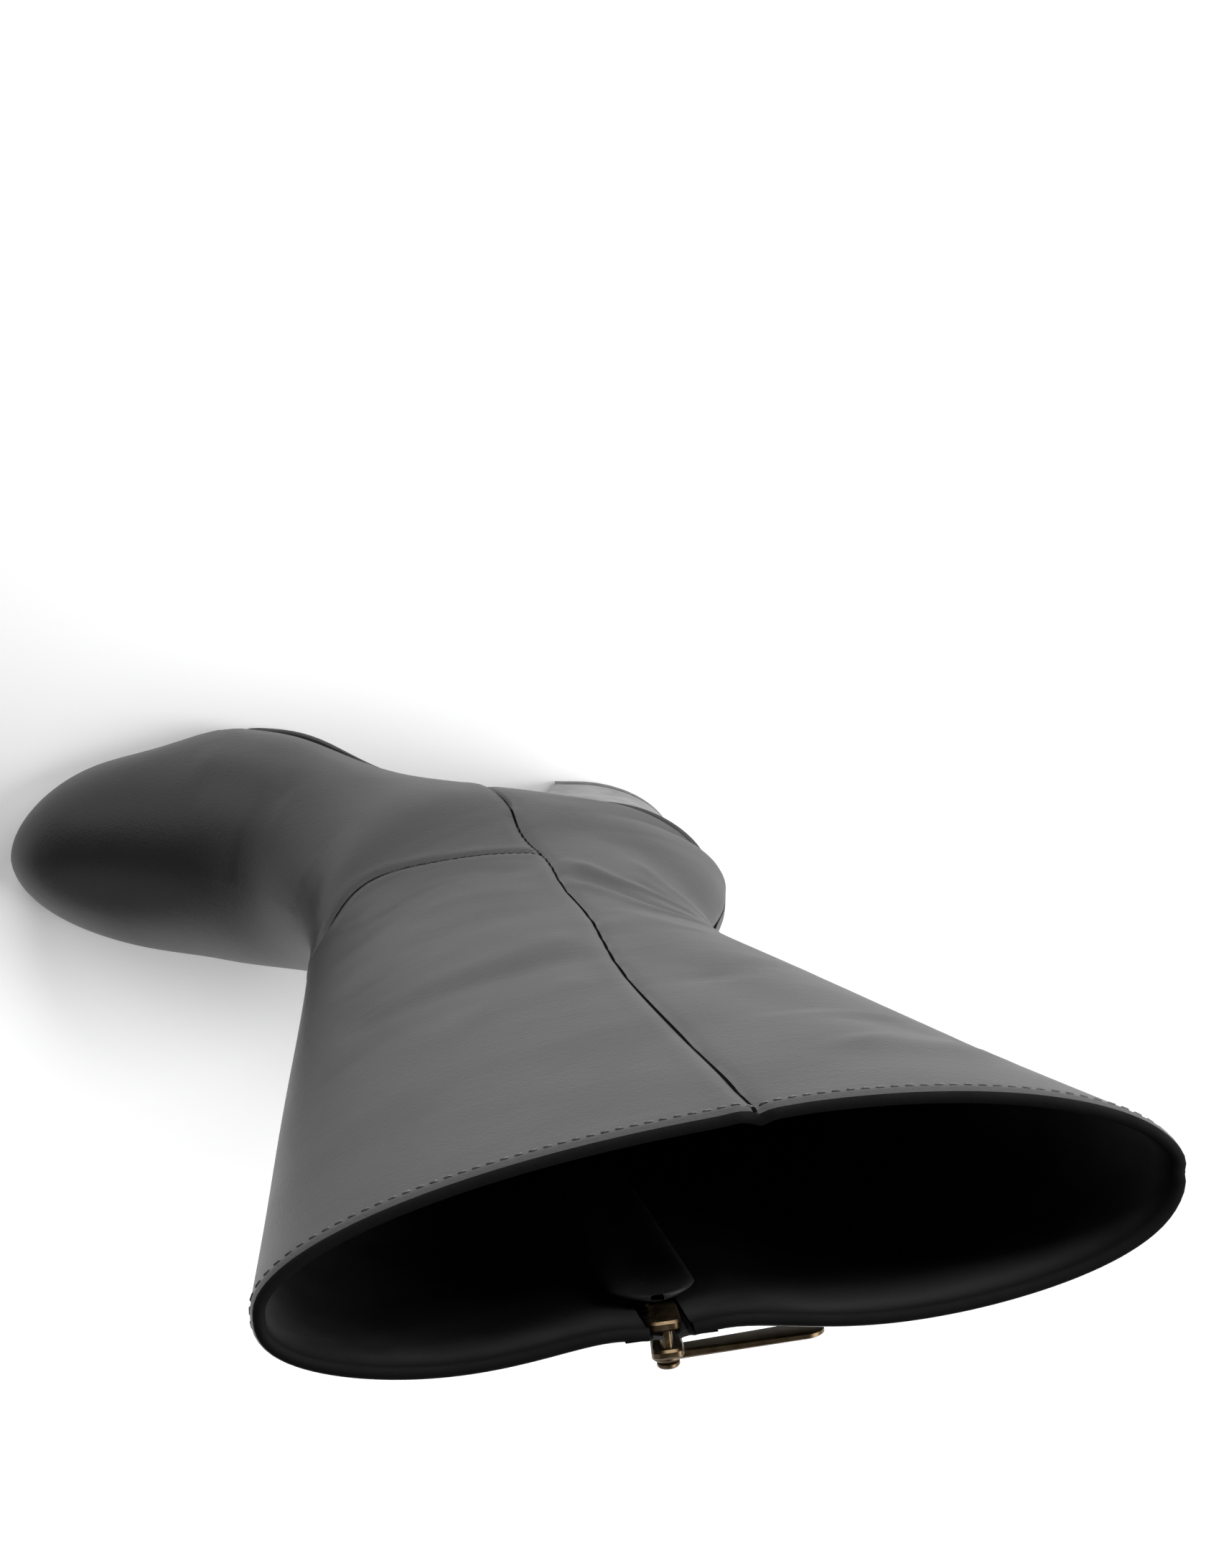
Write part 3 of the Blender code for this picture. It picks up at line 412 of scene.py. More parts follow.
# Seams: height and length of points on the side seam, on the zip's line and the closing seam under it,
# and length and height of points on the ankle seam from the side seam round to the front line
SIDE_SEAM = ((55.0, 79.5), (69.0, 76.9), (85.0, 73.0), (100.0, 69.7), (112.0, 68.2), (125.0, 65.6), (145.0, 60.0),
             (171.0, 56.5), (208.0, 51.5), (278.0, 46.2), (342.0, 39.1), (389.0, 33.1), (420.0, 29.3))
ZIP_LINE = ((48.0, 79.0), (70.0, 75.0), (88.0, 72.0), (100.0, 71.0), (120.0, 69.5), (145.0, 68.5), (170.0, 68.5),
            (200.0, 68.0), (235.0, 64.7), (305.0, 55.6), (370.0, 48.9), (420.0, 43.0))
ANKLE_SEAM = ((56.0, 144.5), (63.0, 140.5), (74.0, 136.5), (86.0, 134.0), (103.0, 131.5), (115.0, 133.0),
              (121.0, 138.0), (126.0, 146.0), (130.0, 155.0))
SEAM_DEPTH = 0.65
SEAM_SPREAD = 1.1
SEAM_SWELL = 0.22
SEAM_SWELL_AT = 3.4
SEAM_SWELL_SPREAD = 2.2
SIDE_DROP = 0.70
SIDE_DROP_SPREAD = 5.0
DROP_STEP = 1.6
SIDE_FLAT_AT = 103.0
SIDE_FLAT_SPREAD = 10.0
SIDE_FLAT_SHARE = 0.80
BACK_PULL = 0.6
CLOSING_FADE = 12.0

face_x = last_face[:, :, 0]
face_z = last_face[:, :, 2]
side_seam_at = smooth_curve(*zip(*SIDE_SEAM))
zip_line_at = smooth_curve(*zip(*ZIP_LINE))
ankle_seam_at = smooth_curve(*zip(*ANKLE_SEAM))
seam_length = np.where(on_outer, side_seam_at(face_z), zip_line_at(face_z))
side_seam = seam_distance(face_x - seam_length)
ankle_seam = seam_distance(face_z - ankle_seam_at(face_x))
before_side_seam = smooth(side_seam)
back_seam = from_low * np.where(on_outer, -1.0, 1.0)
past_closing = smooth((places - CLOSED_AT) / CLOSING_FADE)[:, None] * np.ones(COLUMNS)

# Folds: which side, how deep the trough (a ridge is negative), how wide at its start and end, and length and
# height of its points. The first seven lie round the notch at the back of the ankle.
FOLDS = (
    ("outer", -0.90, (3.6, 2.0),
     ((58.0, 147.0), (51.6, 150.5), (41.6, 162.0), (31.7, 171.5), (22.0, 179.0), (13.5, 184.0))),
    ("outer", 1.00, (4.8, 2.2),
     ((58.5, 156.0), (48.0, 167.0), (37.5, 181.0), (28.0, 191.0), (20.0, 193.0), (13.5, 188.0))),
    ("outer", -0.75, (4.0, 2.4),
     ((56.0, 167.0), (48.5, 177.0), (39.0, 191.5), (30.0, 203.0), (22.0, 206.0), (13.5, 196.0))),
    ("outer", -0.45, (5.5, 4.0),
     ((50.0, 211.0), (42.4, 213.5), (35.2, 223.0), (28.0, 232.0), (17.0, 234.0))),
    ("outer", 0.45, (2.6, 2.0), ((36.0, 155.0), (25.3, 168.0), (14.0, 181.0))),
    ("outer", -0.60, (3.6, 2.2), ((33.3, 129.0), (25.7, 146.0), (18.2, 160.0), (11.0, 172.0))),
    ("outer", 1.70, (20.0, 9.0),
     ((61.0, 104.0), (48.0, 110.0), (34.0, 116.0), (23.0, 128.0), (15.0, 141.0), (9.0, 154.0))),
    ("outer", 0.80, (6.0, 8.0),
     ((60.0, 160.0), (73.0, 156.5), (82.0, 152.0), (92.0, 150.5), (104.0, 157.0), (114.0, 170.0))),
    ("outer", -0.60, (7.0, 9.0),
     ((60.0, 188.0), (73.0, 181.0), (81.0, 179.0), (93.0, 180.0), (106.0, 190.0), (116.0, 206.0))),
    ("outer", 0.55, (9.0, 10.0), ((58.0, 208.0), (82.0, 212.0), (104.0, 224.0), (118.0, 240.0))),
    ("outer", -0.85, (9.0, 12.0), ((50.0, 236.0), (73.5, 253.0), (88.0, 257.0), (112.0, 266.0))),
    ("outer", 0.95, (9.0, 12.0), ((48.0, 258.0), (73.7, 273.0), (92.9, 276.0), (114.0, 282.0))),
    ("outer", -0.65, (11.0, 12.0), ((44.0, 292.0), (68.8, 297.0), (93.8, 306.0), (118.0, 311.0))),
    ("outer", 0.75, (9.0, 12.0), ((47.0, 226.0), (39.0, 270.0), (29.7, 290.0), (20.0, 306.0))),
    ("outer", -0.55, (10.0, 12.0), ((41.0, 210.0), (31.0, 242.0), (20.0, 268.0), (8.0, 284.0))),
    ("outer", 0.55, (10.0, 11.0), ((30.0, 290.0), (19.0, 323.0), (9.0, 346.0))),
    ("outer", -0.80, (9.0, 10.0), ((6.0, 368.0), (-9.0, 378.0), (-24.0, 372.0))),
    ("outer", 0.65, (9.0, 10.0), ((-2.0, 340.0), (-14.0, 356.0), (-26.0, 354.0))),
    ("outer", 0.60, (7.0, 7.0), ((150.0, 58.0), (141.0, 74.0), (135.0, 92.0), (130.0, 108.0))),
    ("outer", -0.45, (6.0, 7.0), ((178.0, 36.0), (166.0, 44.0), (156.0, 52.0), (143.0, 64.0))),
    ("outer", 0.40, (6.0, 7.0), ((178.0, 46.0), (166.0, 54.0), (155.0, 62.0), (142.0, 74.0))),
    ("outer", -0.30, (5.0, 6.0), ((176.0, 54.0), (165.0, 62.0), (156.0, 72.0))),
    ("inner", 1.30, (6.0, 4.0), ((66.0, 150.0), (46.0, 160.0), (30.0, 168.0), (12.0, 172.0))),
    ("inner", -0.90, (6.0, 4.0), ((64.0, 166.0), (44.0, 176.0), (28.0, 184.0), (14.0, 190.0))),
    ("inner", 0.90, (7.0, 5.0), ((44.0, 128.0), (30.0, 140.0), (18.0, 152.0), (8.0, 156.0))),
    ("inner", 0.80, (8.0, 8.0), ((76.0, 158.0), (92.0, 160.0), (106.0, 168.0), (118.0, 186.0))),
    ("inner", 0.60, (11.0, 11.0), ((66.0, 246.0), (84.0, 256.0), (108.0, 268.0))),
    ("inner", 0.60, (11.0, 11.0), ((58.0, 262.0), (38.0, 284.0), (18.0, 304.0))),
)
FOLD_STARTS = 0.22
FOLD_ENDS = 0.14
FOLD_SAMPLES = 60
FEATHER_FADE = 6.0

# The collar's edge is folded double down to its row of stitches, which pull a shallow channel
COLLAR_STITCH_DROP = 4.2
FOLDED_RISE = 0.15
FOLDED_STEP = 0.8
CHANNEL_DEPTH = 0.20
CHANNEL_SPREAD = 0.9
TURN_IN = 1.5
NICK_DEPTH = 0.9
NICK_SPREAD = 1.4


def fold_rise(path, spread):
    """A soft trough along a path seen from the side: 1 on the path, fading across it and at its ends."""
    path = np.array(path)
    stops = np.linspace(0.0, 1.0, FOLD_SAMPLES)
    length = np.concatenate([[0.0], np.cumsum(np.linalg.norm(np.diff(path, axis=0), axis=1))])
    curve = smooth_curve(length / length[-1], path)
    drawn = np.array([curve(stop) for stop in stops])
    apart = (face_x[:, :, None] - drawn[:, 0]) ** 2 + (face_z[:, :, None] - drawn[:, 1]) ** 2
    nearest = apart.argmin(axis=2)
    along = stops[nearest]
    width = spread[0] + (spread[1] - spread[0]) * along
    taper = smooth(along / FOLD_STARTS) * smooth((1.0 - along) / FOLD_ENDS)
    away = np.take_along_axis(apart, nearest[:, :, None], axis=2)[:, :, 0]
    return np.exp(-away / width**2) * taper


def seam_pull(distance):
    """How a closed seam shapes the leather: drawn in on the seam, with a soft swell beside it."""
    groove = -SEAM_DEPTH * bell(distance / SEAM_SPREAD)
    swell = SEAM_SWELL * bell((np.abs(distance) - SEAM_SWELL_AT) / SEAM_SWELL_SPREAD)
    return groove + swell


rise = np.zeros((ROWS, COLUMNS))
for side, depth, spread, path in FOLDS:
    this_side = on_outer if side == "outer" else ~on_outer
    rise -= depth * fold_rise(path, spread) * this_side
low_fade = smooth(from_low / FEATHER_FADE)
rise *= np.where(closed_rows[:, None], 1.0, low_fade)
closing_seam = on_outer | (face_z < face_z[foot_row, SLIT_FRONT])
side_flat = SIDE_FLAT_SHARE * bell((face_z - SIDE_FLAT_AT) / SIDE_FLAT_SPREAD)
side_pull = 1.0 - side_flat * on_outer
rise += seam_pull(side_seam) * closing_seam * side_pull
side_drop = bell(side_seam / SIDE_DROP_SPREAD) * smooth(0.5 - side_seam / DROP_STEP)
rise -= SIDE_DROP * side_drop * on_outer * side_pull
rise += seam_pull(ankle_seam) * before_side_seam
rise += BACK_PULL * seam_pull(back_seam) * past_closing
collar_drop = BOOT_HEIGHT - face_z
rise += FOLDED_RISE * smooth(COLLAR_STITCH_DROP + FOLDED_STEP - collar_drop)
rise -= TURN_IN * np.clip(1.0 - collar_drop / COLLAR_STITCH_DROP, 0.0, 1.0) ** 2
rise -= CHANNEL_DEPTH * bell((collar_drop - COLLAR_STITCH_DROP) / CHANNEL_SPREAD)
upper_normal = face_normals(last_face)
upper_face = last_face + upper_normal * rise[:, :, None]
upper_normal = face_normals(upper_face)


def grid_faces(rows, columns, keep=None):
    """Corner numbers of the cells of a grid, without those that keep leaves out."""
    first = np.arange(rows - 1)[:, None] * columns + np.arange(columns - 1)
    cells = np.stack([first, first + columns, first + columns + 1, first + 1], axis=-1).reshape(-1, 4)
    return cells if keep is None else cells[keep.reshape(-1)]


def add_piece(name, points, faces, material, body="boot", marks=None, join=True, sharp_deg=50.0):
    """A mesh piece from points in millimetres, with a number per point for each mark, riding on a body."""
    mesh = bpy.data.meshes.new(name)
    corners = (np.asarray(points) + boot_place) * MM
    mesh.from_pydata(corners.tolist(), [], [list(map(int, face)) for face in faces])
    for label, values in (marks or {}).items():
        layer = mesh.attributes.new(label, "FLOAT", "POINT")
        layer.data.foreach_set("value", np.asarray(values, np.float32).reshape(-1))
    work = bmesh.new()
    work.from_mesh(mesh)
    if join:
        bmesh.ops.remove_doubles(work, verts=work.verts[:], dist=ROUND_OFF)
    loose = [corner for corner in work.verts if not corner.link_faces]
    bmesh.ops.delete(work, geom=loose, context="VERTS")
    work.to_mesh(mesh)
    work.free()
    mesh.materials.append(material)
    mesh.shade_smooth()
    mesh.set_sharp_from_angle(angle=math.radians(sharp_deg))
    piece = bpy.data.objects.new(name, mesh)
    bpy.context.scene.collection.objects.link(piece)
    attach(piece, body)
    return piece


def add_node(tree, kind, inputs, **settings):
    """A material node with its settings, each input a number, a colour or another node's output."""
    node = tree.nodes.new(kind)
    for name, value in settings.items():
        setattr(node, name, value)
    for name, value in inputs.items():
        if isinstance(value, bpy.types.NodeSocket):
            tree.links.new(value, node.inputs[name])
        else:
            node.inputs[name].default_value = value
    return node


def reckon(tree, operation, first, second=0.0):
    return add_node(tree, "ShaderNodeMath", {0: first, 1: second}, operation=operation).outputs[0]


def ramp(tree, value, start, end, low=0.0, high=1.0):
    """A number that goes smoothly from low to high while value goes from start to end."""
    ends = {"Value": value, "From Min": start, "From Max": end, "To Min": low, "To Max": high}
    return add_node(tree, "ShaderNodeMapRange", ends, interpolation_type="SMOOTHSTEP").outputs["Result"]


def on_piece(tree):
    return add_node(tree, "ShaderNodeTexCoord", {}).outputs["Object"]


def mottle(tree, size, detail=3.0, stretch=(1.0, 1.0, 1.0)):
    """Cloudy noise on the piece itself, its patches about size millimetres across."""
    mapped = add_node(tree, "ShaderNodeMapping", {"Vector": on_piece(tree), "Scale": stretch}).outputs["Vector"]
    inputs = {"Vector": mapped, "Scale": 1.0 / (size * MM), "Detail": detail}
    return add_node(tree, "ShaderNodeTexNoise", inputs).outputs["Fac"]


def pebble(tree, size):
    """Small rounded cells about size millimetres across, for the grain of leather."""
    inputs = {"Vector": on_piece(tree), "Scale": 1.0 / (size * MM), "Smoothness": 0.6}
    return add_node(tree, "ShaderNodeTexVoronoi", inputs, feature="SMOOTH_F1").outputs["Distance"]


def tint(tree, share, first, second):
    """A colour between two, by a number from 0 to 1. The first may be another node's output."""
    start = first if isinstance(first, bpy.types.NodeSocket) else (*first, 1.0)
    node = add_node(tree, "ShaderNodeMix", {0: share, 6: start, 7: (*second, 1.0)}, data_type="RGBA")
    return node.outputs[2]


def cloudy(tree, dark, light, size, start=0.35, end=0.70, detail=3.0):
    """A colour that goes from dark to light in patches about size millimetres across."""
    return tint(tree, ramp(tree, mottle(tree, size, detail), start, end), dark, light)


def mark(tree, name):
    return add_node(tree, "ShaderNodeAttribute", {}, attribute_name=name).outputs["Fac"]


def new_finish(name):
    material = bpy.data.materials.new(name)
    material.use_nodes = True
    tree = material.node_tree
    return material, tree, tree.nodes["Principled BSDF"]


def colour_and_gloss(tree, shader, colour, patch, low, high):
    """Colour of a finish, and its roughness from low to high in patches of that size in millimetres."""
    tree.links.new(colour, shader.inputs["Base Color"])
    tree.links.new(ramp(tree, mottle(tree, patch), 0.3, 0.7, low, high), shader.inputs["Roughness"])


def raise_surface(tree, shader, layers):
    """Bump layers, each a height from 0 to 1 and its size in millimetres, one over the other."""
    below = None
    for height, size in layers:
        inputs = {"Strength": 1.0, "Distance": size * MM, "Height": height}
        if below is not None:
            inputs["Normal"] = below
        below = add_node(tree, "ShaderNodeBump", inputs).outputs["Normal"]
    tree.links.new(below, shader.inputs["Normal"])


CALF_BLACK = (0.0042, 0.0041, 0.0041)
CALF_WORN = (0.0080, 0.0078, 0.0076)
SEAM_SHADE_BLACK = (0.0008, 0.0008, 0.0008)
SEAM_SHADE_EDGE = 0.55

# Painted shade down in the closed seams: seam, where it is closed, half width of its full black, and how black
SEAM_SHADE_MARKS = (
    ("side_seam", "closed_side", 0.15, 1.0),
    ("ankle_seam", "in_front", 0.10, 0.8),
    ("back_seam", "past_closing", 0.15, 0.9),
)

calf, tree, shader = new_finish("black_calf")
# Painted shade: the groove of each closed seam is painted near black along its line, and its roughness raised.
seam_shade = 0.0
for seam, closed, full, black in SEAM_SHADE_MARKS:
    away = reckon(tree, "ABSOLUTE", mark(tree, seam))
    line = reckon(tree, "MULTIPLY", ramp(tree, away, full, SEAM_SHADE_EDGE, black, 0.0), mark(tree, closed))
    seam_shade = reckon(tree, "MAXIMUM", seam_shade, line)
colour = tint(tree, seam_shade, cloudy(tree, CALF_BLACK, CALF_WORN, size=38.0), SEAM_SHADE_BLACK)
tree.links.new(colour, shader.inputs["Base Color"])
gloss = ramp(tree, mottle(tree, 30.0), 0.30, 0.72, 0.42, 0.46)
gloss = reckon(tree, "ADD", gloss, reckon(tree, "MULTIPLY", seam_shade, 0.35))
tree.links.new(gloss, shader.inputs["Roughness"])
shader.inputs["Specular IOR Level"].default_value = 0.5
fine_seams = reckon(tree, "SUBTRACT", 1.0, seam_shade)
raise_surface(tree, shader, [
    (mottle(tree, 5.0, detail=3.0, stretch=(0.5, 0.5, 1.8)), 0.05),
    (pebble(tree, 0.75), 0.05),
    (mottle(tree, 0.35, detail=2.0), 0.02),
    (fine_seams, 0.30),
])

# The zip's edges turn in. The feather edge tucks in under the last. The side seam leaves a nick in the collar.
EDGE_ROLL = 0.7
EDGE_STEPS = 3
EDGE_TURN = 1.1 * math.pi / 2.0
TUCK = 0.9
SEAM_MARK_REACH = 40.0

nick = NICK_DEPTH * bell(side_seam[-1] / NICK_SPREAD) * on_outer
upper_face[-1, :, 2] -= nick

cell_column = np.arange(COLUMNS - 1)[None, :]
cell_row = np.arange(ROWS - 1)[:, None]
in_slit = (cell_column >= SLIT_FRONT) & (cell_column < SLIT_BACK) & (cell_row >= foot_row)
upper_cells = [grid_faces(ROWS, COLUMNS, ~in_slit)]
upper_points = [upper_face.reshape(-1, 3)]
upper_source = [np.arange(ROWS * COLUMNS)]


def add_edge(source, strips):
    """Strips of leather that carry on from a line of points on the upper, one row of points after another."""
    before = np.array(source)
    for strip in strips:
        start = sum(len(block) for block in upper_points)
        after = start + np.arange(len(before))
        upper_points.append(strip)
        upper_source.append(np.array(source))
        upper_cells.append(np.stack([before[:-1], after[:-1], after[1:], before[1:]], axis=-1))
        before = after


for column, towards in ((SLIT_FRONT, 1), (SLIT_BACK, -1)):
    slit_rows = np.arange(foot_row, ROWS)
    edge = upper_face[slit_rows, column]
    out = upper_normal[slit_rows, column]
    into_slit = unit(upper_face[slit_rows, column + towards] - edge)
    centre = edge - out * EDGE_ROLL
    turns = np.linspace(0.0, EDGE_TURN, EDGE_STEPS + 1)[1:]
    strips = [centre + EDGE_ROLL * (out * math.cos(a) + into_slit * math.sin(a)) for a in turns]
    strips.append(strips[-1] - out * (WALL - EDGE_ROLL))
    add_edge(slit_rows * COLUMNS + column, strips)
open_rows = np.arange(ROWS)[~closed_rows]
tuck_in = np.array([0.0, 0.0, -FEATHER_GAP])
for source in (open_rows * COLUMNS, open_rows * COLUMNS + COLUMNS - 1, np.arange(COLUMNS)):
    inward = -upper_normal.reshape(-1, 3)[source] * np.array([1.0, 1.0, 0.0])
    add_edge(source, [upper_face.reshape(-1, 3)[source] + tuck_in + inward * TUCK])

source = np.concatenate(upper_source)
closed_side = np.where(closing_seam, 1.0, 0.0) * np.ones((ROWS, COLUMNS))
face_marks = {
    "side_seam": np.clip(side_seam, -SEAM_MARK_REACH, SEAM_MARK_REACH),
    "ankle_seam": np.clip(ankle_seam, -SEAM_MARK_REACH, SEAM_MARK_REACH),
    "back_seam": np.clip(back_seam, -SEAM_MARK_REACH, SEAM_MARK_REACH),
    "closed_side": closed_side,
    "in_front": before_side_seam,
    "past_closing": past_closing,
}
upper_marks = {name: values.reshape(-1)[source] for name, values in face_marks.items()}
upper_points = np.concatenate(upper_points)
upper_cells = np.concatenate(upper_cells)
upper = add_piece("upper", upper_points, upper_cells, calf, marks=upper_marks)
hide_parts("upper")


# SEAM SHADOW STRIPS. Painted shadow: thin near-black strips with no reflection, laid just above the bottom of each
# closed seam's groove. They show as a thin dark line down in each closed seam.
GAP_SIDE = 0.42
GAP_ANKLE = 0.30
GAP_BACK = 0.30
GAP_LIFT = 0.10
STRIP_SHADOW_BLACK = (0.0020, 0.0020, 0.0020)
STRIP_SHADOW_GREY = (0.0040, 0.0040, 0.0040)
PAST_SLIT = 8
BACK_START = 2

seam_shadow_finish, tree, shader = new_finish("painted_seam_shadow")
colour = tint(tree, mottle(tree, 2.0), STRIP_SHADOW_BLACK, STRIP_SHADOW_GREY)
colour_and_gloss(tree, shader, colour, patch=1.0, low=0.85, high=0.95)
shader.inputs["Specular IOR Level"].default_value = 0.0


def joined(blocks):
    """Points and faces of several blocks as one list of each."""
    points = []
    faces = []
    start = 0
    for block_points, block_faces in blocks:
        points.append(np.asarray(block_points))
        faces.extend([tuple(int(index) + start for index in face) for face in block_faces])
        start += len(block_points)
    return np.concatenate(points), faces


def crossing(values, points, outward):
    """Point and outward vector where a line of values first passes zero, or nothing if it doesn't."""
    change = np.nonzero(values[:-1] * values[1:] < 0.0)[0]
    if not len(change):
        return None
    i = change[0]
    share = values[i] / (values[i] - values[i + 1])
    point = points[i] + (points[i + 1] - points[i]) * share
    return point, outward[i] + (outward[i + 1] - outward[i]) * share


def seam_ribbon(found, half):
    """A narrow ribbon along the points where a seam was found."""
    path = np.array([point for point, _ in found])
    out = unit(np.array([outward for _, outward in found]))
    aside = unit(np.cross(np.gradient(path, axis=0), out))
    edges = [path + out * GAP_LIFT + aside * half * turn for turn in (-1.0, 1.0)]
    return np.stack(edges, axis=1).reshape(-1, 3), grid_faces(len(path), 2)


def across_rows(columns, row_count):
    """Where the side seam, or the closing seam under the zip, crosses each row of the upper."""
    spots = [crossing(side_seam[row, columns], upper_face[row, columns], upper_normal[row, columns])
             for row in range(row_count)]
    return [spot for spot in spots if spot is not None]


# The ankle seam starts at the side seam. A spot on it holds its point, how far it lies in front of the side seam
# (number AHEAD) and the outward vector.
AHEAD = 3
face_and_front = np.concatenate([upper_face, side_seam[:, :, None]], axis=2)
spots = [crossing(ankle_seam[:, c], face_and_front[:, c], upper_normal[:, c]) for c in range(COLUMNS)]
spots = np.array([np.concatenate(spot) for spot in spots if spot is not None])
ankle_line = []
for one, two in zip(spots[:-1], spots[1:]):
    if one[AHEAD] > 0.0:
        ankle_line.append(one)
    if one[AHEAD] * two[AHEAD] < 0.0:
        ankle_line.append(one + (two - one) * one[AHEAD] / (one[AHEAD] - two[AHEAD]))
ankle_found = [(spot[:AHEAD], spot[AHEAD + 1:]) for spot in ankle_line]
back_rows = np.nonzero(closed_rows)[0][BACK_START:]
back_found = [(upper_face[row, 0], upper_normal[row, 0]) for row in back_rows]
ribbons = [
    seam_ribbon(across_rows(slice(OUTER_STEPS), ROWS), GAP_SIDE),
    seam_ribbon(ankle_found, GAP_ANKLE),
    seam_ribbon(back_found, GAP_BACK),
    seam_ribbon(across_rows(slice(OUTER_STEPS, SLIT_BACK + PAST_SLIT), foot_row), GAP_BACK),
]
seam_shadow_strips = add_piece("seam_shadow_strips", *joined(ribbons), seam_shadow_finish, join=False)


# LINING. Thin black leather glued inside the upper and open along the zip. At the collar it is turned out over the
# edge and meets the upper's folded edge in a narrow bead, whose colour is darkened towards its edge as painted
# shade.
LINING_BLACK = (0.0230, 0.0230, 0.0236)
LINING_GREY = (0.0400, 0.0400, 0.0410)
LINING_BEAD_SHADE = (0.0032, 0.0032, 0.0033)
EDGE_NEAR = 1.0
EDGE_FAR = 9.0
LINING_STEP = 2
BEAD_STEPS = 7

lining_finish, tree, shader = new_finish("black_lining")
colour = cloudy(tree, LINING_BLACK, LINING_GREY, size=24.0)
# Painted shade: the lining's colour darkens towards its edge on the collar bead.
bead_shade = ramp(tree, mark(tree, "under_edge"), EDGE_NEAR, EDGE_FAR, 1.0, 0.0)
colour = tint(tree, bead_shade, colour, LINING_BEAD_SHADE)
colour_and_gloss(tree, shader, colour, patch=6.0, low=0.72, high=0.84)
shader.inputs["Specular IOR Level"].default_value = 0.08
raise_surface(tree, shader, [(mottle(tree, 5.0), 0.15), (pebble(tree, 0.6), 0.03)])

lining_rows = np.append(np.arange(0, ROWS - 1, LINING_STEP), ROWS - 1)
up_along = unit(np.gradient(upper_face, axis=0)[-1])
bead = upper_face[-1] - upper_normal[-1] * COLLAR_ROLL
bead_turns = np.linspace(math.pi, 0.0, BEAD_STEPS)
bead_rows = np.array([bead + COLLAR_ROLL * (upper_normal[-1] * math.cos(a) + up_along * math.sin(a))
                      for a in bead_turns])
lining_face = np.concatenate([(upper_face - upper_normal * WALL)[lining_rows[:-1]], bead_rows])
rows, columns = lining_face.shape[:2]
cell_place = np.append(lining_rows[:-1], np.full(BEAD_STEPS - 1, ROWS - 1))[:, None]
lining_slit = (cell_column >= SLIT_FRONT) & (cell_column < SLIT_BACK) & (cell_place >= foot_row - 1)
lining_faces = grid_faces(rows, columns, ~lining_slit)[:, ::-1]
under_edge = {"under_edge": np.linalg.norm(lining_face - lining_face[-1], axis=2)}
lining = add_piece("lining", lining_face.reshape(-1, 3), lining_faces, lining_finish, marks=under_edge)


# STITCHING. Waxed black thread: one row under the folded edge of the collar, and one along each side of the zip.
# Each stitch is a short length of thread that dips into the leather at both ends.
STITCH_PITCH = 2.7
STITCH_LENGTH = 2.15
THREAD_RADIUS = 0.24
THREAD_SIDES = 6
STITCH_SHAPE = ((-0.5, 0.45, -0.25), (-0.3, 1.0, 0.06), (0.3, 1.0, 0.06), (0.5, 0.45, -0.25))
ZIP_STITCH_OFFSET = 3.0
ZIP_STITCH_END = 2.0
ZIP_STITCH_ROWS = 120
COLLAR_ROWS = 12
COLLAR_OUTWARD_ROW = 4
THREAD_BLACK = (0.020, 0.020, 0.020)
THREAD_GREY = (0.052, 0.052, 0.053)

thread, tree, shader = new_finish("black_thread")
colour = cloudy(tree, THREAD_BLACK, THREAD_GREY, size=3.0, start=0.3, end=0.7)
colour_and_gloss(tree, shader, colour, patch=0.6, low=0.32, high=0.44)
raise_surface(tree, shader, [(mottle(tree, 0.25), 0.05)])


def ring_cells(levels, count, inside_out=False):
    """Corner numbers of the cells between closed rings of equal count."""
    faces = []
    for level in range(levels - 1):
        for i in range(count):
            a = level * count + i
            b = level * count + (i + 1) % count
            faces.append((a, a + count, b + count, b) if inside_out else (a, b, b + count, a + count))
    return faces


def stitch_row(path, outward):
    """Points and faces of a row of stitches along a path that lies on the leather."""
    length = arc_lengths(path)
    count = int(length[-1] / STITCH_PITCH)
    middles = (np.arange(count) + 0.5) * STITCH_PITCH
    centre = at_arc(path, middles)
    along = unit(at_arc(path, middles + 0.5) - at_arc(path, middles - 0.5))
    out = at_stops(outward, length, middles)
    out = unit(out - along * (out * along).sum(axis=1)[:, None])
    side = np.cross(along, out)
    turn = np.linspace(0.0, 2.0 * math.pi, THREAD_SIDES, endpoint=False)
    rings = []
    for share, fullness, height in STITCH_SHAPE:
        middle = centre + along * share * STITCH_LENGTH + out * height
        for angle in turn:
            reach = THREAD_RADIUS * fullness
            rings.append(middle + side * reach * math.cos(angle) + out * reach * math.sin(angle))
    points = np.stack(rings, axis=1)
    per_stitch = points.shape[1]
    one = np.array(ring_cells(len(STITCH_SHAPE), THREAD_SIDES))
    every = (np.arange(count)[:, None, None] * per_stitch + one).reshape(-1, 4)
    return points.reshape(-1, 3), every


def zip_frame(place, across=0.0):
    """Point on the outer face at the zip, or beside it, with unit vectors to the front, outwards and upwards."""

    def on_face(at_place, at_across):
        inner, share = drawn_girth(at_place, 1.0)
        centre = zip_arc(inner, share, section(at_place)["zip"])
        return at_arc(inner, np.array([centre - at_across]))[0]

    point = on_face(place, across)
    front = unit(on_face(place, across + FRAME_STEP) - on_face(place, across - FRAME_STEP))
    up = on_face(min(place + FRAME_STEP, KNOTS[-1]), across) - on_face(place - FRAME_STEP, across)
    out = unit(np.cross(up, front))
    return point, front, out, np.cross(front, out)


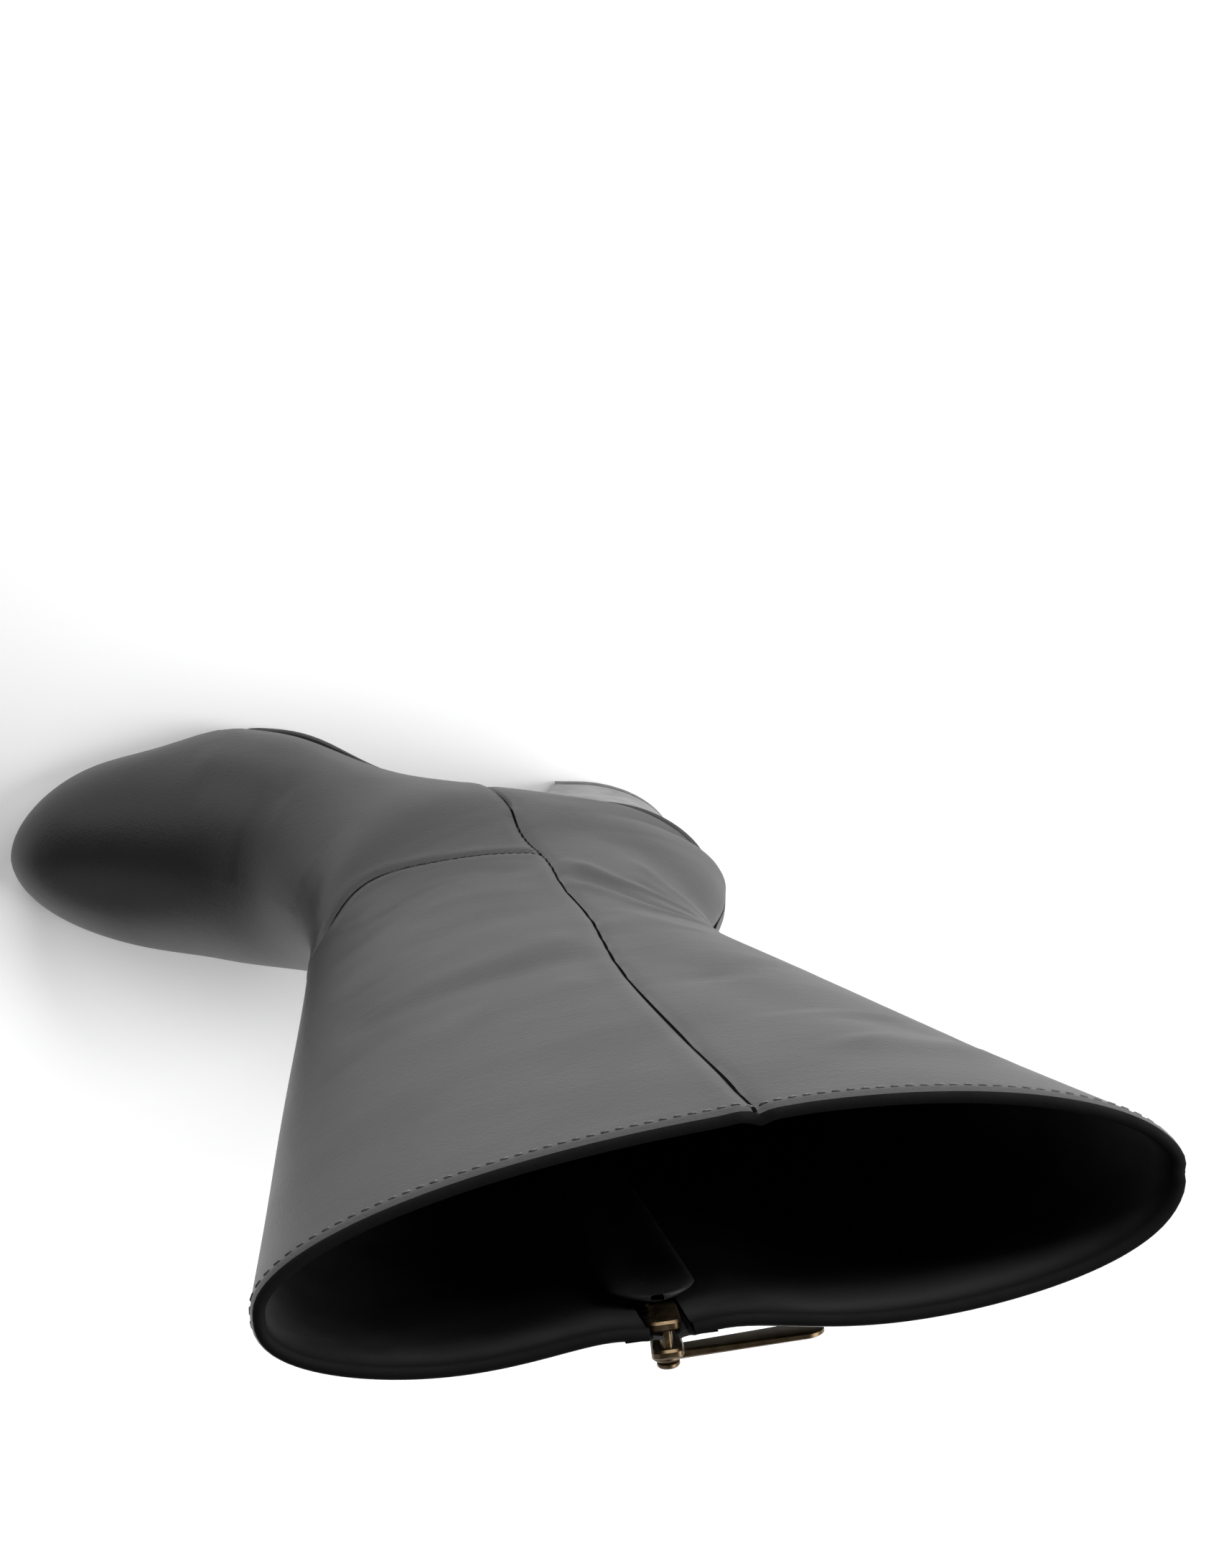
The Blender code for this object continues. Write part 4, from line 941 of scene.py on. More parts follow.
top_rows = slice(ROWS - COLLAR_ROWS, ROWS)
stitch_columns = np.r_[SLIT_BACK + 2:COLUMNS, 1:SLIT_FRONT - 1]
collar_path = []
collar_outward = []
for column in stitch_columns:
    line = upper_face[top_rows, column]
    collar_path.append(at_stops(line, line[:, 2], BOOT_HEIGHT - COLLAR_STITCH_DROP))
    collar_outward.append(upper_normal[ROWS - COLLAR_OUTWARD_ROW, column])
stitch_blocks = [stitch_row(np.array(collar_path), np.array(collar_outward))]
zip_stitch_top = KNOTS[-1] - COLLAR_STITCH_DROP - ZIP_STITCH_END
zip_rows = np.linspace(ZIP_FOOT + ZIP_STITCH_END, zip_stitch_top, ZIP_STITCH_ROWS)
for across in (SLIT_HALF + ZIP_STITCH_OFFSET, -SLIT_HALF - ZIP_STITCH_OFFSET):
    frames = [zip_frame(place, across) for place in zip_rows]
    path = np.array([point for point, _, _, _ in frames])
    outward = np.array([out for _, _, out, _ in frames])
    stitch_blocks.append(stitch_row(path, outward))
stitching = add_piece("stitching", *joined(stitch_blocks), thread, join=False)


# INSOLE. Board covered with a thin black leather sock. The upper is lasted to its underside, and it follows the
# sole's arch from the heel seat to the toe.
INSOLE_BOARD = 2.4
SOLE_GAP = 0.3
FOREPART_INSET = WALL + 1.8
SEAT_INSET = WALL + 2.6
HINGE_ROW = 7
FEATHER_SAMPLES = 160
SOLE_END_STEPS = 30
SOLE_ARCH_STEPS = 54
SOCK_BLACK = (0.010, 0.010, 0.010)
SOCK_GREY = (0.020, 0.0195, 0.019)
INSOLE_EDGE = ((1.2, 0.0), (0.3, 0.15), (0.0, 0.45), (0.0, 1.0))


def feather_edge(side):
    """Plan of the feather line on one side from the back of the heel to the toe tip."""
    spread = np.linspace(0.0, 1.0, FEATHER_SAMPLES) ** 2
    heel_to_toe = CLOSED_AT + (KNOTS[HINGE_ROW] - CLOSED_AT) * spread
    sides = [half_girth(section(place), side)[0][-1] for place in heel_to_toe]
    toe = half_girth(section(KNOTS[0]), side)[0][::-1]
    return np.concatenate([np.array(sides), toe[1:]])[:, :2]


FEATHER_EDGES = {side: feather_edge(side) for side in (-1.0, 1.0)}


def offset_edge(side, outset, inset):
    """The feather line moved outwards in plan: lengths along the foot and places across it."""
    edge = FEATHER_EDGES[side]
    tangent = np.gradient(edge, axis=0)
    normal = np.column_stack([-tangent[:, 1], tangent[:, 0]]) * side
    normal[0] = (-1.0, 0.0)
    normal[-1] = (1.0, 0.0)
    moved = edge + unit(normal) * (outset(edge[:, 0], side) - inset)[:, None]
    return moved[:, 0], moved[:, 1]


def sole_stations(start, end):
    """Lengths along the sole from heel to toe, closer together where its ends turn."""
    turn = np.linspace(0.0, math.pi / 2.0, SOLE_END_STEPS + 1)
    heel = start + (SEAT_END - start) * (1.0 - np.cos(turn))
    arch = np.linspace(SEAT_END, TREAD_START, SOLE_ARCH_STEPS + 1)[1:]
    toe = TREAD_END + (end - TREAD_END) * np.sin(turn)
    return np.concatenate([heel, arch, toe])


def sole_slab(outset, edge, top, thickness):
    """A sole piece: rings down its edge, given as inset and share of the thickness, closed above and below."""
    rings = []
    for inset, share in edge:
        outer_x, outer_y = offset_edge(-1.0, outset, inset)
        inner_x, inner_y = offset_edge(1.0, outset, inset)
        along = sole_stations(outer_x[0], outer_x[-1])
        height = top(along) - share * thickness(along)
        outer = np.stack([along, np.interp(along, outer_x, outer_y), height], axis=-1)
        inner = np.stack([along, np.interp(along, inner_x, inner_y), height], axis=-1)
        rings.append(np.concatenate([outer, inner[::-1]]))
    count = len(rings[0])
    half = count // 2
    faces = ring_cells(len(rings), count, inside_out=True)
    under = (len(rings) - 1) * count
    for i in range(half - 1):
        across = (i, i + 1, count - 2 - i, count - 1 - i)
        faces.append(across)
        faces.append(tuple(under + index for index in reversed(across)))
    return np.concatenate(rings), faces


def insole_outset(x, side):
    return -(FOREPART_INSET + (SEAT_INSET - FOREPART_INSET) * sole_rise(x))


sock, tree, shader = new_finish("black_sock")
colour = cloudy(tree, SOCK_BLACK, SOCK_GREY, size=20.0)
colour_and_gloss(tree, shader, colour, patch=9.0, low=0.55, high=0.68)
raise_surface(tree, shader, [(mottle(tree, 7.0), 0.12), (pebble(tree, 0.7), 0.03)])

insole_points, insole_faces = sole_slab(insole_outset, INSOLE_EDGE,
                                        lambda x: sole_top(x) + SOLE_GAP + INSOLE_BOARD,
                                        lambda x: np.full_like(x, INSOLE_BOARD))
insole = add_piece("insole", insole_points, insole_faces, sock)
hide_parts("insole")


# OUTSOLE. One thin sheet of black sole leather, cemented on and trimmed close to the upper, its edge rounded,
# inked and burnished. On the outer side it is tucked in under the waist and stands out a little behind the ball.
INNER_MARGIN = ((0.0, 1.0), (60.0, 0.9), (120.0, 0.2), (180.0, 0.2), (242.0, 0.2))
OUTER_MARGIN = ((0.0, 1.0), (14.0, 1.0), (32.0, 0.4), (52.0, -0.7), (95.0, -0.7), (112.0, -0.5), (136.0, 1.5),
                (162.0, 0.3), (242.0, 0.2))
OUTSOLE_EDGE = ((2.0, 0.0), (0.7, 0.02), (0.15, 0.12), (0.0, 0.30), (0.0, 0.62), (0.25, 0.84), (0.8, 0.97),
                (1.6, 1.0))
SOLE_BLACK = (0.0035, 0.0034, 0.0033)
SOLE_RUBBED = (0.0120, 0.0115, 0.0110)


def outsole_outset(x, side):
    """How far the outsole stands out past the feather line."""
    return smooth_curve(*zip(*(OUTER_MARGIN if side < 0 else INNER_MARGIN)))(x)


sole_leather, tree, shader = new_finish("black_sole_leather")
fibres = mottle(tree, 1.6, detail=4.0, stretch=(0.35, 1.0, 1.0))
scuffs = ramp(tree, mottle(tree, 26.0, detail=6.0), 0.52, 0.74)
colour = tint(tree, reckon(tree, "MULTIPLY", scuffs, fibres), SOLE_BLACK, SOLE_RUBBED)
colour_and_gloss(tree, shader, colour, patch=14.0, low=0.48, high=0.62)
raise_surface(tree, shader, [(mottle(tree, 8.0), 0.10), (fibres, 0.05)])

outsole_slab = sole_slab(outsole_outset, OUTSOLE_EDGE, sole_top, sole_thickness)
outsole = add_piece("outsole", *outsole_slab, sole_leather)
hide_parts("outsole")


# HEEL. Block of stacked lifts, pressed together, shaped and lacquered black, and nailed on through the seat.
# Its back and sides flare up to the sole, and its breast is hollow.
TOP_PIECE = 6.0
HEEL_ROUND_CENTRE = 45.0
BREAST_HOLLOW = 2.0
HEEL_ROUND_STEPS = 72
BREAST_STEPS = 20
HEEL_LEVELS = 28
HEEL_EASE = 0.35
HEEL_SIDE_STEPS = 6
SEAT_GAP = 0.05
LIFT = 3.4
LACQUER_BLACK = (0.0060, 0.0060, 0.0060)
LACQUER_GREY = (0.0130, 0.0128, 0.0126)

# Share of the height, back, breast and half width
HEEL_SECTIONS = (
    (0.00, 9.6, 53.0, 24.0),
    (0.25, 8.1, 54.4, 24.3),
    (0.50, 6.4, 56.4, 24.8),
    (0.75, 4.3, 58.8, 25.5),
    (1.00, 2.0, 61.4, 26.4),
)


def heel_plan(back, breast, half_width, inset=0.0):
    """Plan of the heel at one height: straight sides, a round back and a hollow breast."""
    turn = np.linspace(-math.pi / 2.0, math.pi / 2.0, HEEL_ROUND_STEPS + 1)
    reach = HEEL_ROUND_CENTRE - back - inset
    half = half_width - inset
    across = np.linspace(half, -half, BREAST_STEPS + 1)[1:-1]
    breast_x = breast - inset - BREAST_HOLLOW * (1.0 - (across / half) ** 2)
    sides = np.linspace(HEEL_ROUND_CENTRE, breast - inset, HEEL_SIDE_STEPS)[1:]
    x = np.concatenate([HEEL_ROUND_CENTRE - reach * np.cos(turn), sides, breast_x, sides[::-1]])
    y = np.concatenate([half * np.sin(turn), np.full(len(sides), half), across, np.full(len(sides), -half)])
    return np.stack([x, y], axis=-1)


def stacked(rings):
    """Points and faces of a closed solid through rings of equal count."""
    count = len(rings[0])
    faces = [tuple(range(count))[::-1], tuple(range((len(rings) - 1) * count, len(rings) * count))]
    faces.extend(ring_cells(len(rings), count))
    return np.concatenate(rings), faces


lacquer, tree, shader = new_finish("black_heel_lacquer")
height = add_node(tree, "ShaderNodeSeparateXYZ", {"Vector": on_piece(tree)}).outputs["Z"]
lift_share = reckon(tree, "FRACT", reckon(tree, "DIVIDE", height, LIFT * MM))
lift_joint = ramp(tree, reckon(tree, "ABSOLUTE", reckon(tree, "SUBTRACT", lift_share, 0.5)), 0.44, 0.49)
layers = ramp(tree, mottle(tree, 12.0, detail=4.0, stretch=(0.5, 0.5, 2.5)), 0.35, 0.7)
colour_and_gloss(tree, shader, tint(tree, layers, LACQUER_BLACK, LACQUER_GREY), patch=10.0, low=0.30, high=0.40)
shader.inputs["Coat Weight"].default_value = 0.3
shader.inputs["Coat Roughness"].default_value = 0.25
raise_surface(tree, shader, [
    (reckon(tree, "SUBTRACT", 1.0, lift_joint), 0.05),
    (mottle(tree, 7.0, detail=3.0, stretch=(0.4, 0.4, 2.0)), 0.08),
])

heel_row_at = smooth_curve([row[0] for row in HEEL_SECTIONS], [row[1:] for row in HEEL_SECTIONS])
heel_rings = []
for level in range(HEEL_LEVELS + 1):
    share = level / HEEL_LEVELS
    inset = HEEL_EASE if level in (0, HEEL_LEVELS) else 0.0
    plan = heel_plan(*heel_row_at(share), inset)
    base = TOP_PIECE + SOLE_GAP
    seat = sole_bottom(plan[:, 0]) - SEAT_GAP
    heel_rings.append(np.column_stack([plan, base + (seat - base) * share]))
heel = add_piece("heel", *stacked(heel_rings), lacquer, sharp_deg=35.0)
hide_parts("heel")


# HEEL TOP PIECE. Lift of hard black rubber under the heel, nailed on and trimmed flush with the block.
# It meets the floor, so its lower edge is rubbed round.
TOP_PIECE_RINGS = ((0.0, 1.0), (0.25, 0.35), (0.8, 0.0), (5.0, 0.0), (5.7, 0.12), (6.05, 0.5))
RUBBER_BLACK = (0.0050, 0.0050, 0.0051)
RUBBER_DUST = (0.0150, 0.0148, 0.0145)

rubber, tree, shader = new_finish("black_top_piece_rubber")
colour = cloudy(tree, RUBBER_BLACK, RUBBER_DUST, size=5.0, start=0.45, end=0.75, detail=6.0)
colour_and_gloss(tree, shader, colour, patch=3.0, low=0.34, high=0.48)
raise_surface(tree, shader, [(mottle(tree, 0.9, detail=4.0), 0.06)])

top_rings = []
for level, inset in TOP_PIECE_RINGS:
    plan = heel_plan(*HEEL_SECTIONS[0][1:], inset)
    top_rings.append(np.column_stack([plan, np.full(len(plan), level)]))
top_piece = add_piece("heel_top_piece", *stacked(top_rings), rubber, sharp_deg=35.0)
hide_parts("heel_top_piece")


# ZIP TAPES. Two bands of woven black tape, sewn behind the turned edges of the slit, each with a corded edge
# that the teeth are clamped to.
TAPE_INNER = 1.3
TAPE_OUTER = 8.6
TAPE_DEPTH = 1.15
CORD_RISE = 0.45
CORD_SPREAD = 0.9
TAPE_STEPS = 9
TAPE_ROWS = 220
TAPE_BELOW_SLIT = 6.0
TAPE_BELOW_COLLAR = 1.0
SLIDER_HEIGHT = 411.0
SLIDER_LENGTH = 12.0
TAPE_BLACK = (0.0080, 0.0080, 0.0085)
TAPE_GREY = (0.0230, 0.0230, 0.0240)
WEAVE = 0.7

woven, tree, shader = new_finish("black_woven_tape")
along = reckon(tree, "MULTIPLY", mark(tree, "tape_along"), math.pi / WEAVE)
across = reckon(tree, "MULTIPLY", mark(tree, "tape_across"), math.pi / WEAVE)
rib = reckon(tree, "MULTIPLY", reckon(tree, "SINE", along), reckon(tree, "SINE", across))
rib = ramp(tree, rib, -1.0, 1.0)
colour_and_gloss(tree, shader, tint(tree, rib, TAPE_BLACK, TAPE_GREY), patch=2.0, low=0.70, high=0.84)
raise_surface(tree, shader, [(rib, 0.12)])

centre_places = np.linspace(ZIP_FOOT - TAPE_BELOW_SLIT, KNOTS[-1] - TAPE_BELOW_COLLAR, TAPE_ROWS)
centre_frames = [zip_frame(place) for place in centre_places]
centre_line = np.array([point for point, _, _, _ in centre_frames])
centre_length = arc_lengths(centre_line)
slider_place = float(np.interp(SLIDER_HEIGHT, centre_line[:, 2], centre_places))
tape_blocks = []
tape_along = []
tape_across = []
for side in (1.0, -1.0):
    rows = []
    for (point, front, out, _), length in zip(centre_frames, centre_length):
        row = []
        for share in np.linspace(0.0, 1.0, TAPE_STEPS):
            reach = TAPE_INNER + (TAPE_OUTER - TAPE_INNER) * share
            cord = CORD_RISE * bell((reach - TAPE_INNER) / CORD_SPREAD)
            row.append(point + front * side * reach - out * (TAPE_DEPTH - cord))
            tape_along.append(length)
            tape_across.append(reach)
        rows.append(row)
    cells = grid_faces(len(rows), TAPE_STEPS)
    tape_blocks.append((np.array(rows).reshape(-1, 3), cells if side < 0 else cells[:, ::-1]))
tapes = add_piece("zip_tapes", *joined(tape_blocks), woven, join=False,
                  marks={"tape_along": tape_along, "tape_across": tape_across})


# ZIP TEETH. Stamped brass teeth, darkened with age, clamped to the tapes in turn from both sides so that they
# mesh along the middle from the foot of the slit up to the slider.
TOOTH_PITCH = 1.45
TOOTH_HEIGHT = 1.05
TOOTH_ROOT = 2.3
TOOTH_TIP = 0.75
TOOTH_LOW = -1.3
TOOTH_HIGH = 0.75
TOOTH_CHAMFER = 0.28
FIRST_TOOTH = 1.0
OLD_BRASS = (0.085, 0.060, 0.034)
WORN_BRASS = (0.200, 0.142, 0.080)

tooth_brass, tree, shader = new_finish("old_brass_teeth")
colour = cloudy(tree, OLD_BRASS, WORN_BRASS, size=2.2, start=0.35, end=0.72, detail=4.0)
colour_and_gloss(tree, shader, colour, patch=1.4, low=0.30, high=0.48)
shader.inputs["Metallic"].default_value = 1.0
raise_surface(tree, shader, [(mottle(tree, 0.5), 0.02)])

foot_length = float(np.interp(ZIP_FOOT + FIRST_TOOTH, centre_places, centre_length))
top_length = float(np.interp(slider_place - SLIDER_LENGTH / 2.0, centre_places, centre_length))
tooth_lengths = np.arange(foot_length, top_length, TOOTH_PITCH)
tooth_places = np.interp(tooth_lengths, centre_length, centre_places)
tooth_faces = [(0, 3, 2, 1), *ring_cells(3, 4), (8, 9, 10, 11)]
tooth_blocks = []
for number, place in enumerate(tooth_places):
    point, front, out, up = zip_frame(place)
    side = 1.0 if number % 2 else -1.0
    half = TOOTH_HEIGHT / 2.0
    corners = []
    for depth, ease in ((TOOTH_LOW, 0.0), (TOOTH_HIGH - TOOTH_CHAMFER, 0.0), (TOOTH_HIGH, TOOTH_CHAMFER)):
        root = side * (TOOTH_ROOT - ease)
        tip = -side * (TOOTH_TIP - ease)
        end = half - ease
        for across, along in ((root, -end), (tip, -end), (tip, end), (root, end)):
            corners.append(point + front * across + up * along + out * depth)
    faces = tooth_faces if side > 0 else [face[::-1] for face in tooth_faces]
    tooth_blocks.append((np.array(corners), faces))
teeth = add_piece("zip_teeth", *joined(tooth_blocks), tooth_brass, join=False, sharp_deg=30.0)
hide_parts("zip_chain")


# ZIP GUARD. Strip of thin black leather sewn inside the shaft behind the zip, so that the teeth don't catch
# the leg. Its edges and ends are rounded.
GUARD_HALF = 8.5
GUARD_DEPTH = WALL + 2.0
GUARD_THICKNESS = 1.2
GUARD_TOP = 407.0
GUARD_BOTTOM = 106.0
GUARD_ROWS = 110
GUARD_STEPS = 12
GUARD_CORNER = 7.0
GUARD_EDGE_POWER = 8
GUARD_BLACK = (0.0200, 0.0200, 0.0202)
GUARD_GREY = (0.0370, 0.0366, 0.0366)

guard_leather, tree, shader = new_finish("black_guard_leather")
colour = cloudy(tree, GUARD_BLACK, GUARD_GREY, size=15.0)
colour_and_gloss(tree, shader, colour, patch=8.0, low=0.46, high=0.60)
shader.inputs["Specular IOR Level"].default_value = 0.3
raise_surface(tree, shader, [(mottle(tree, 6.0), 0.12), (pebble(tree, 0.7), 0.035)])

guard_ends = np.interp([GUARD_BOTTOM, GUARD_TOP], centre_line[:, 2], centre_places)
guard_turn = np.linspace(0.0, math.pi, GUARD_ROWS)
guard_places = guard_ends[0] + (guard_ends[1] - guard_ends[0]) * (1.0 - np.cos(guard_turn)) / 2.0
outer_face = []
inner_face = []
for place in guard_places:
    from_end = min(place - guard_ends[0], guard_ends[1] - place)
    corner = max(GUARD_CORNER - from_end, 0.0) / GUARD_CORNER
    half = GUARD_HALF - GUARD_CORNER * (1.0 - math.sqrt(1.0 - corner * corner))
    outer_row = []
    inner_row = []
    for share in np.sin(np.linspace(-math.pi / 2.0, math.pi / 2.0, GUARD_STEPS + 1)):
        point, _, out, _ = zip_frame(place, share * half)
        thin = GUARD_THICKNESS * 0.5 * (1.0 - math.sqrt(max(1.0 - share**GUARD_EDGE_POWER, 0.0)))
        outer_row.append(point - out * (GUARD_DEPTH + thin))
        inner_row.append(point - out * (GUARD_DEPTH + GUARD_THICKNESS - thin))
    outer_face.append(outer_row)
    inner_face.append(inner_row)
guard_cells = grid_faces(GUARD_ROWS, GUARD_STEPS + 1)
guard_blocks = [(np.array(outer_face).reshape(-1, 3), guard_cells[:, ::-1]),
                (np.array(inner_face).reshape(-1, 3), guard_cells)]
guard = add_piece("zip_guard", *joined(guard_blocks), guard_leather)
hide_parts("zip_guard")


# ZIP SLIDER. Cast brass slider, dull gold and worn brighter in places: an inner and an outer plate on a post,
# and on the outer plate a headed stud that carries the pull tab.
SLIDER_HALF = 3.2
SLIDER_FOOT_HALF = 2.8
POST_HALF = 1.2
POST_SHORT = 1.0
POST_SINK = 0.3
POST_EASE = 0.1
INNER_PLATE = (-3.5, -1.5)
OUTER_PLATE = (2.0, 3.8)
STUD_DROP = 2.0
STUD_PROFILE = ((3.4, 1.5), (4.1, 1.1), (6.4, 1.1), (6.7, 1.9), (7.0, 2.2), (7.5, 2.2), (7.85, 1.9),
                (8.0, 1.2))
STUD_SIDES = 28
PLATE_EASE = 0.45
PLATE_STEPS = 14
PLATE_SQUARE = 2.0 / 5.0
GOLD_DARK = (0.095, 0.066, 0.036)
GOLD_LIGHT = (0.150, 0.106, 0.060)

slider_gold, tree, shader = new_finish("dull_gold_slider")
colour = cloudy(tree, GOLD_DARK, GOLD_LIGHT, size=4.0, start=0.36, end=0.66, detail=5.0)
colour_and_gloss(tree, shader, colour, patch=2.0, low=0.36, high=0.48)
shader.inputs["Metallic"].default_value = 1.0
raise_surface(tree, shader, [(mottle(tree, 2.0, detail=2.0), 0.010), (mottle(tree, 0.3, detail=2.0), 0.003)])

point, front, out, up = zip_frame(slider_place)
slider_turn = np.column_stack([front, out, up])


def on_slider(local):
    """Points given across, outwards and upwards from the zip's face at the slider."""
    return np.asarray(point) + np.asarray(local) @ slider_turn.T


def plate_plan(half_foot, half_head, low, high, steps):
    """Plan of a slider plate, across and along, narrower at its foot, with round corners."""
    turn = np.linspace(0.0, 2.0 * math.pi, 4 * steps, endpoint=False)
    across = np.sign(np.cos(turn)) * np.abs(np.cos(turn)) ** PLATE_SQUARE
    along = np.sign(np.sin(turn)) * np.abs(np.sin(turn)) ** PLATE_SQUARE
    half = half_foot + (half_head - half_foot) * (along + 1.0) / 2.0
    return np.column_stack([across * half, (low + high) / 2.0 + along * (high - low) / 2.0])


def plate(plan, bottom, top, ease):
    """A plate of that plan between two depths with eased edges."""
    middle = plan.mean(axis=0)
    rings = []
    for depth, inset in ((bottom, ease), (bottom + ease, 0.0), (top - ease, 0.0), (top, ease)):
        reach = plan - middle
        shrink = 1.0 - inset / np.maximum(np.linalg.norm(reach, axis=1), inset)[:, None]
        ring = middle + reach * shrink
        rings.append(np.column_stack([ring[:, 0], np.full(len(ring), depth), ring[:, 1]]))
    return rings


end = SLIDER_LENGTH / 2.0
outer_plan = plate_plan(SLIDER_FOOT_HALF, SLIDER_HALF, -end, end, PLATE_STEPS)
post_plan = plate_plan(POST_HALF, POST_HALF, -end + POST_SHORT, end - POST_SHORT, PLATE_STEPS)
turn = np.linspace(0.0, 2.0 * math.pi, STUD_SIDES, endpoint=False)
stud_rings = []
for depth, reach in STUD_PROFILE:
    level = np.full(STUD_SIDES, depth)
    stud_rings.append(np.column_stack([reach * np.cos(turn), level, reach * np.sin(turn) - STUD_DROP]))
slider_solids = [
    plate(outer_plan, *OUTER_PLATE, PLATE_EASE),
    plate(outer_plan, *INNER_PLATE, PLATE_EASE),
    plate(post_plan, INNER_PLATE[1] - POST_SINK, OUTER_PLATE[0] + POST_SINK, POST_EASE),
    stud_rings,
]
slider_blocks = []
for rings in slider_solids:
    slider_points, slider_faces = stacked(rings)
    slider_blocks.append((on_slider(slider_points), slider_faces))
slider = add_piece("zip_slider", *joined(slider_blocks), slider_gold, join=False, sharp_deg=38.0)
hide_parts("zip_slider")


# PULL TAB. Flat cast brass tab, dull gold, with an eye that turns on the slider's stud. It gets thinner and wider
# towards its round end, and its edges are eased.
TAB_EYE = 1.5
TAB_EYE_OUTER = 3.0
TAB_LENGTH = 30.0
TAB_NECK_HALF = 2.0
TAB_END_HALF = 3.4
TAB_NEAR = 4.3
TAB_ROOT_THICKNESS = 2.0
TAB_END_THICKNESS = 1.2
TAB_DROOP_DEG = 2.0
TAB_ROUND_STEPS = 28
TAB_SIDE_STEPS = 12
TAB_EASE = 0.4
TAB_EDGE = ((0.0, TAB_EASE), (0.22, 0.0), (0.78, 0.0), (1.0, TAB_EASE))

tab_gold, tree, shader = new_finish("dull_gold_tab")
colour = cloudy(tree, GOLD_DARK, GOLD_LIGHT, size=6.0, start=0.34, end=0.64, detail=5.0)
colour_and_gloss(tree, shader, colour, patch=3.0, low=0.34, high=0.44)
shader.inputs["Metallic"].default_value = 1.0
raise_surface(tree, shader, [(mottle(tree, 3.0, detail=2.0), 0.008), (mottle(tree, 0.3, detail=2.0), 0.003)])


def arc(radius, turn):
    return np.column_stack([radius * np.cos(turn), radius * np.sin(turn)])


neck_start = math.asin(TAB_NECK_HALF / TAB_EYE_OUTER)
eye_turn = np.linspace(math.pi - neck_start, neck_start - math.pi, 2 * TAB_ROUND_STEPS)
end_turn = np.linspace(-math.pi / 2.0, -1.5 * math.pi, TAB_ROUND_STEPS)
end_centre = TAB_END_HALF - TAB_LENGTH
tab_plan = np.concatenate([
    arc(TAB_EYE_OUTER, eye_turn),
    np.linspace((-TAB_EYE_OUTER, -TAB_NECK_HALF), (end_centre, -TAB_END_HALF), TAB_SIDE_STEPS)[1:-1],
    arc(TAB_END_HALF, end_turn) + np.array([end_centre, 0.0]),
    np.linspace((end_centre, TAB_END_HALF), (-TAB_EYE_OUTER, TAB_NECK_HALF), TAB_SIDE_STEPS)[1:-1],
])
tab_share = np.clip(-tab_plan[:, 0] / TAB_LENGTH, 0.0, 1.0)
tab_thickness = TAB_ROOT_THICKNESS + (TAB_END_THICKNESS - TAB_ROOT_THICKNESS) * tab_share
plan_tangent = np.roll(tab_plan, -1, axis=0) - np.roll(tab_plan, 1, axis=0)
plan_inward = unit(np.column_stack([plan_tangent[:, 1], -plan_tangent[:, 0]]))
if (plan_inward * tab_plan).sum() > 0.0:
    plan_inward = -plan_inward
eye_angle = np.arctan2(tab_plan[:, 1], np.maximum(tab_plan[:, 0], -TAB_EYE_OUTER))
eye_rim = arc(TAB_EYE, eye_angle)
tab_rings = []
for depth_share, inset in TAB_EDGE:
    ring = tab_plan + plan_inward * inset
    tab_rings.append(np.column_stack([ring[:, 0], tab_thickness * depth_share, ring[:, 1]]))
hinge_turn = np.array(Matrix.Rotation(-math.radians(TAB_DROOP_DEG), 3, "Y"))
hinge_place = np.array((0.0, TAB_NEAR, -STUD_DROP))
near_rim = np.column_stack([eye_rim[:, 0], np.zeros(len(eye_rim)), eye_rim[:, 1]])
far_rim = np.column_stack([eye_rim[:, 0], np.full(len(eye_rim), TAB_ROOT_THICKNESS), eye_rim[:, 1]])
tab_levels = [near_rim, *tab_rings, far_rim, near_rim]
tab_faces = ring_cells(len(tab_levels), len(tab_plan))
tab_points = on_slider(np.concatenate(tab_levels) @ hinge_turn.T + hinge_place)
tab = add_piece("zip_pull", tab_points, tab_faces, tab_gold, body="pull_tab", sharp_deg=38.0)
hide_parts("zip_pull")


# FLOOR, LIGHT AND CAMERA. A plain white floor that glows a little far off and on the boot's inner side, large
# soft lights behind the heel and low along the outer side, a weak one over the inner side of the toe, and a camera
# that looks steeply down on the outer side of the boot.
FLOOR_REACH = 6000.0
FLOOR_WHITE = (0.95, 0.95, 0.95)
FLOOR_WARM = (0.93, 0.93, 0.935)
FLOOR_GLOW_FROM = 900.0
FLOOR_GLOW_FULL = 2600.0
FLOOR_GLOW = 0.75
INNER_GLOW_TOWARDS = (0.45, 0.90, 0.0)
INNER_GLOW_FROM = 60.0
INNER_GLOW_FULL = 135.0
INNER_GLOW = 0.36
SKY_LOW = (0.55, 0.55, 0.555)
SKY_HIGH = (0.015, 0.015, 0.015)
SKY_TURN = 0.12
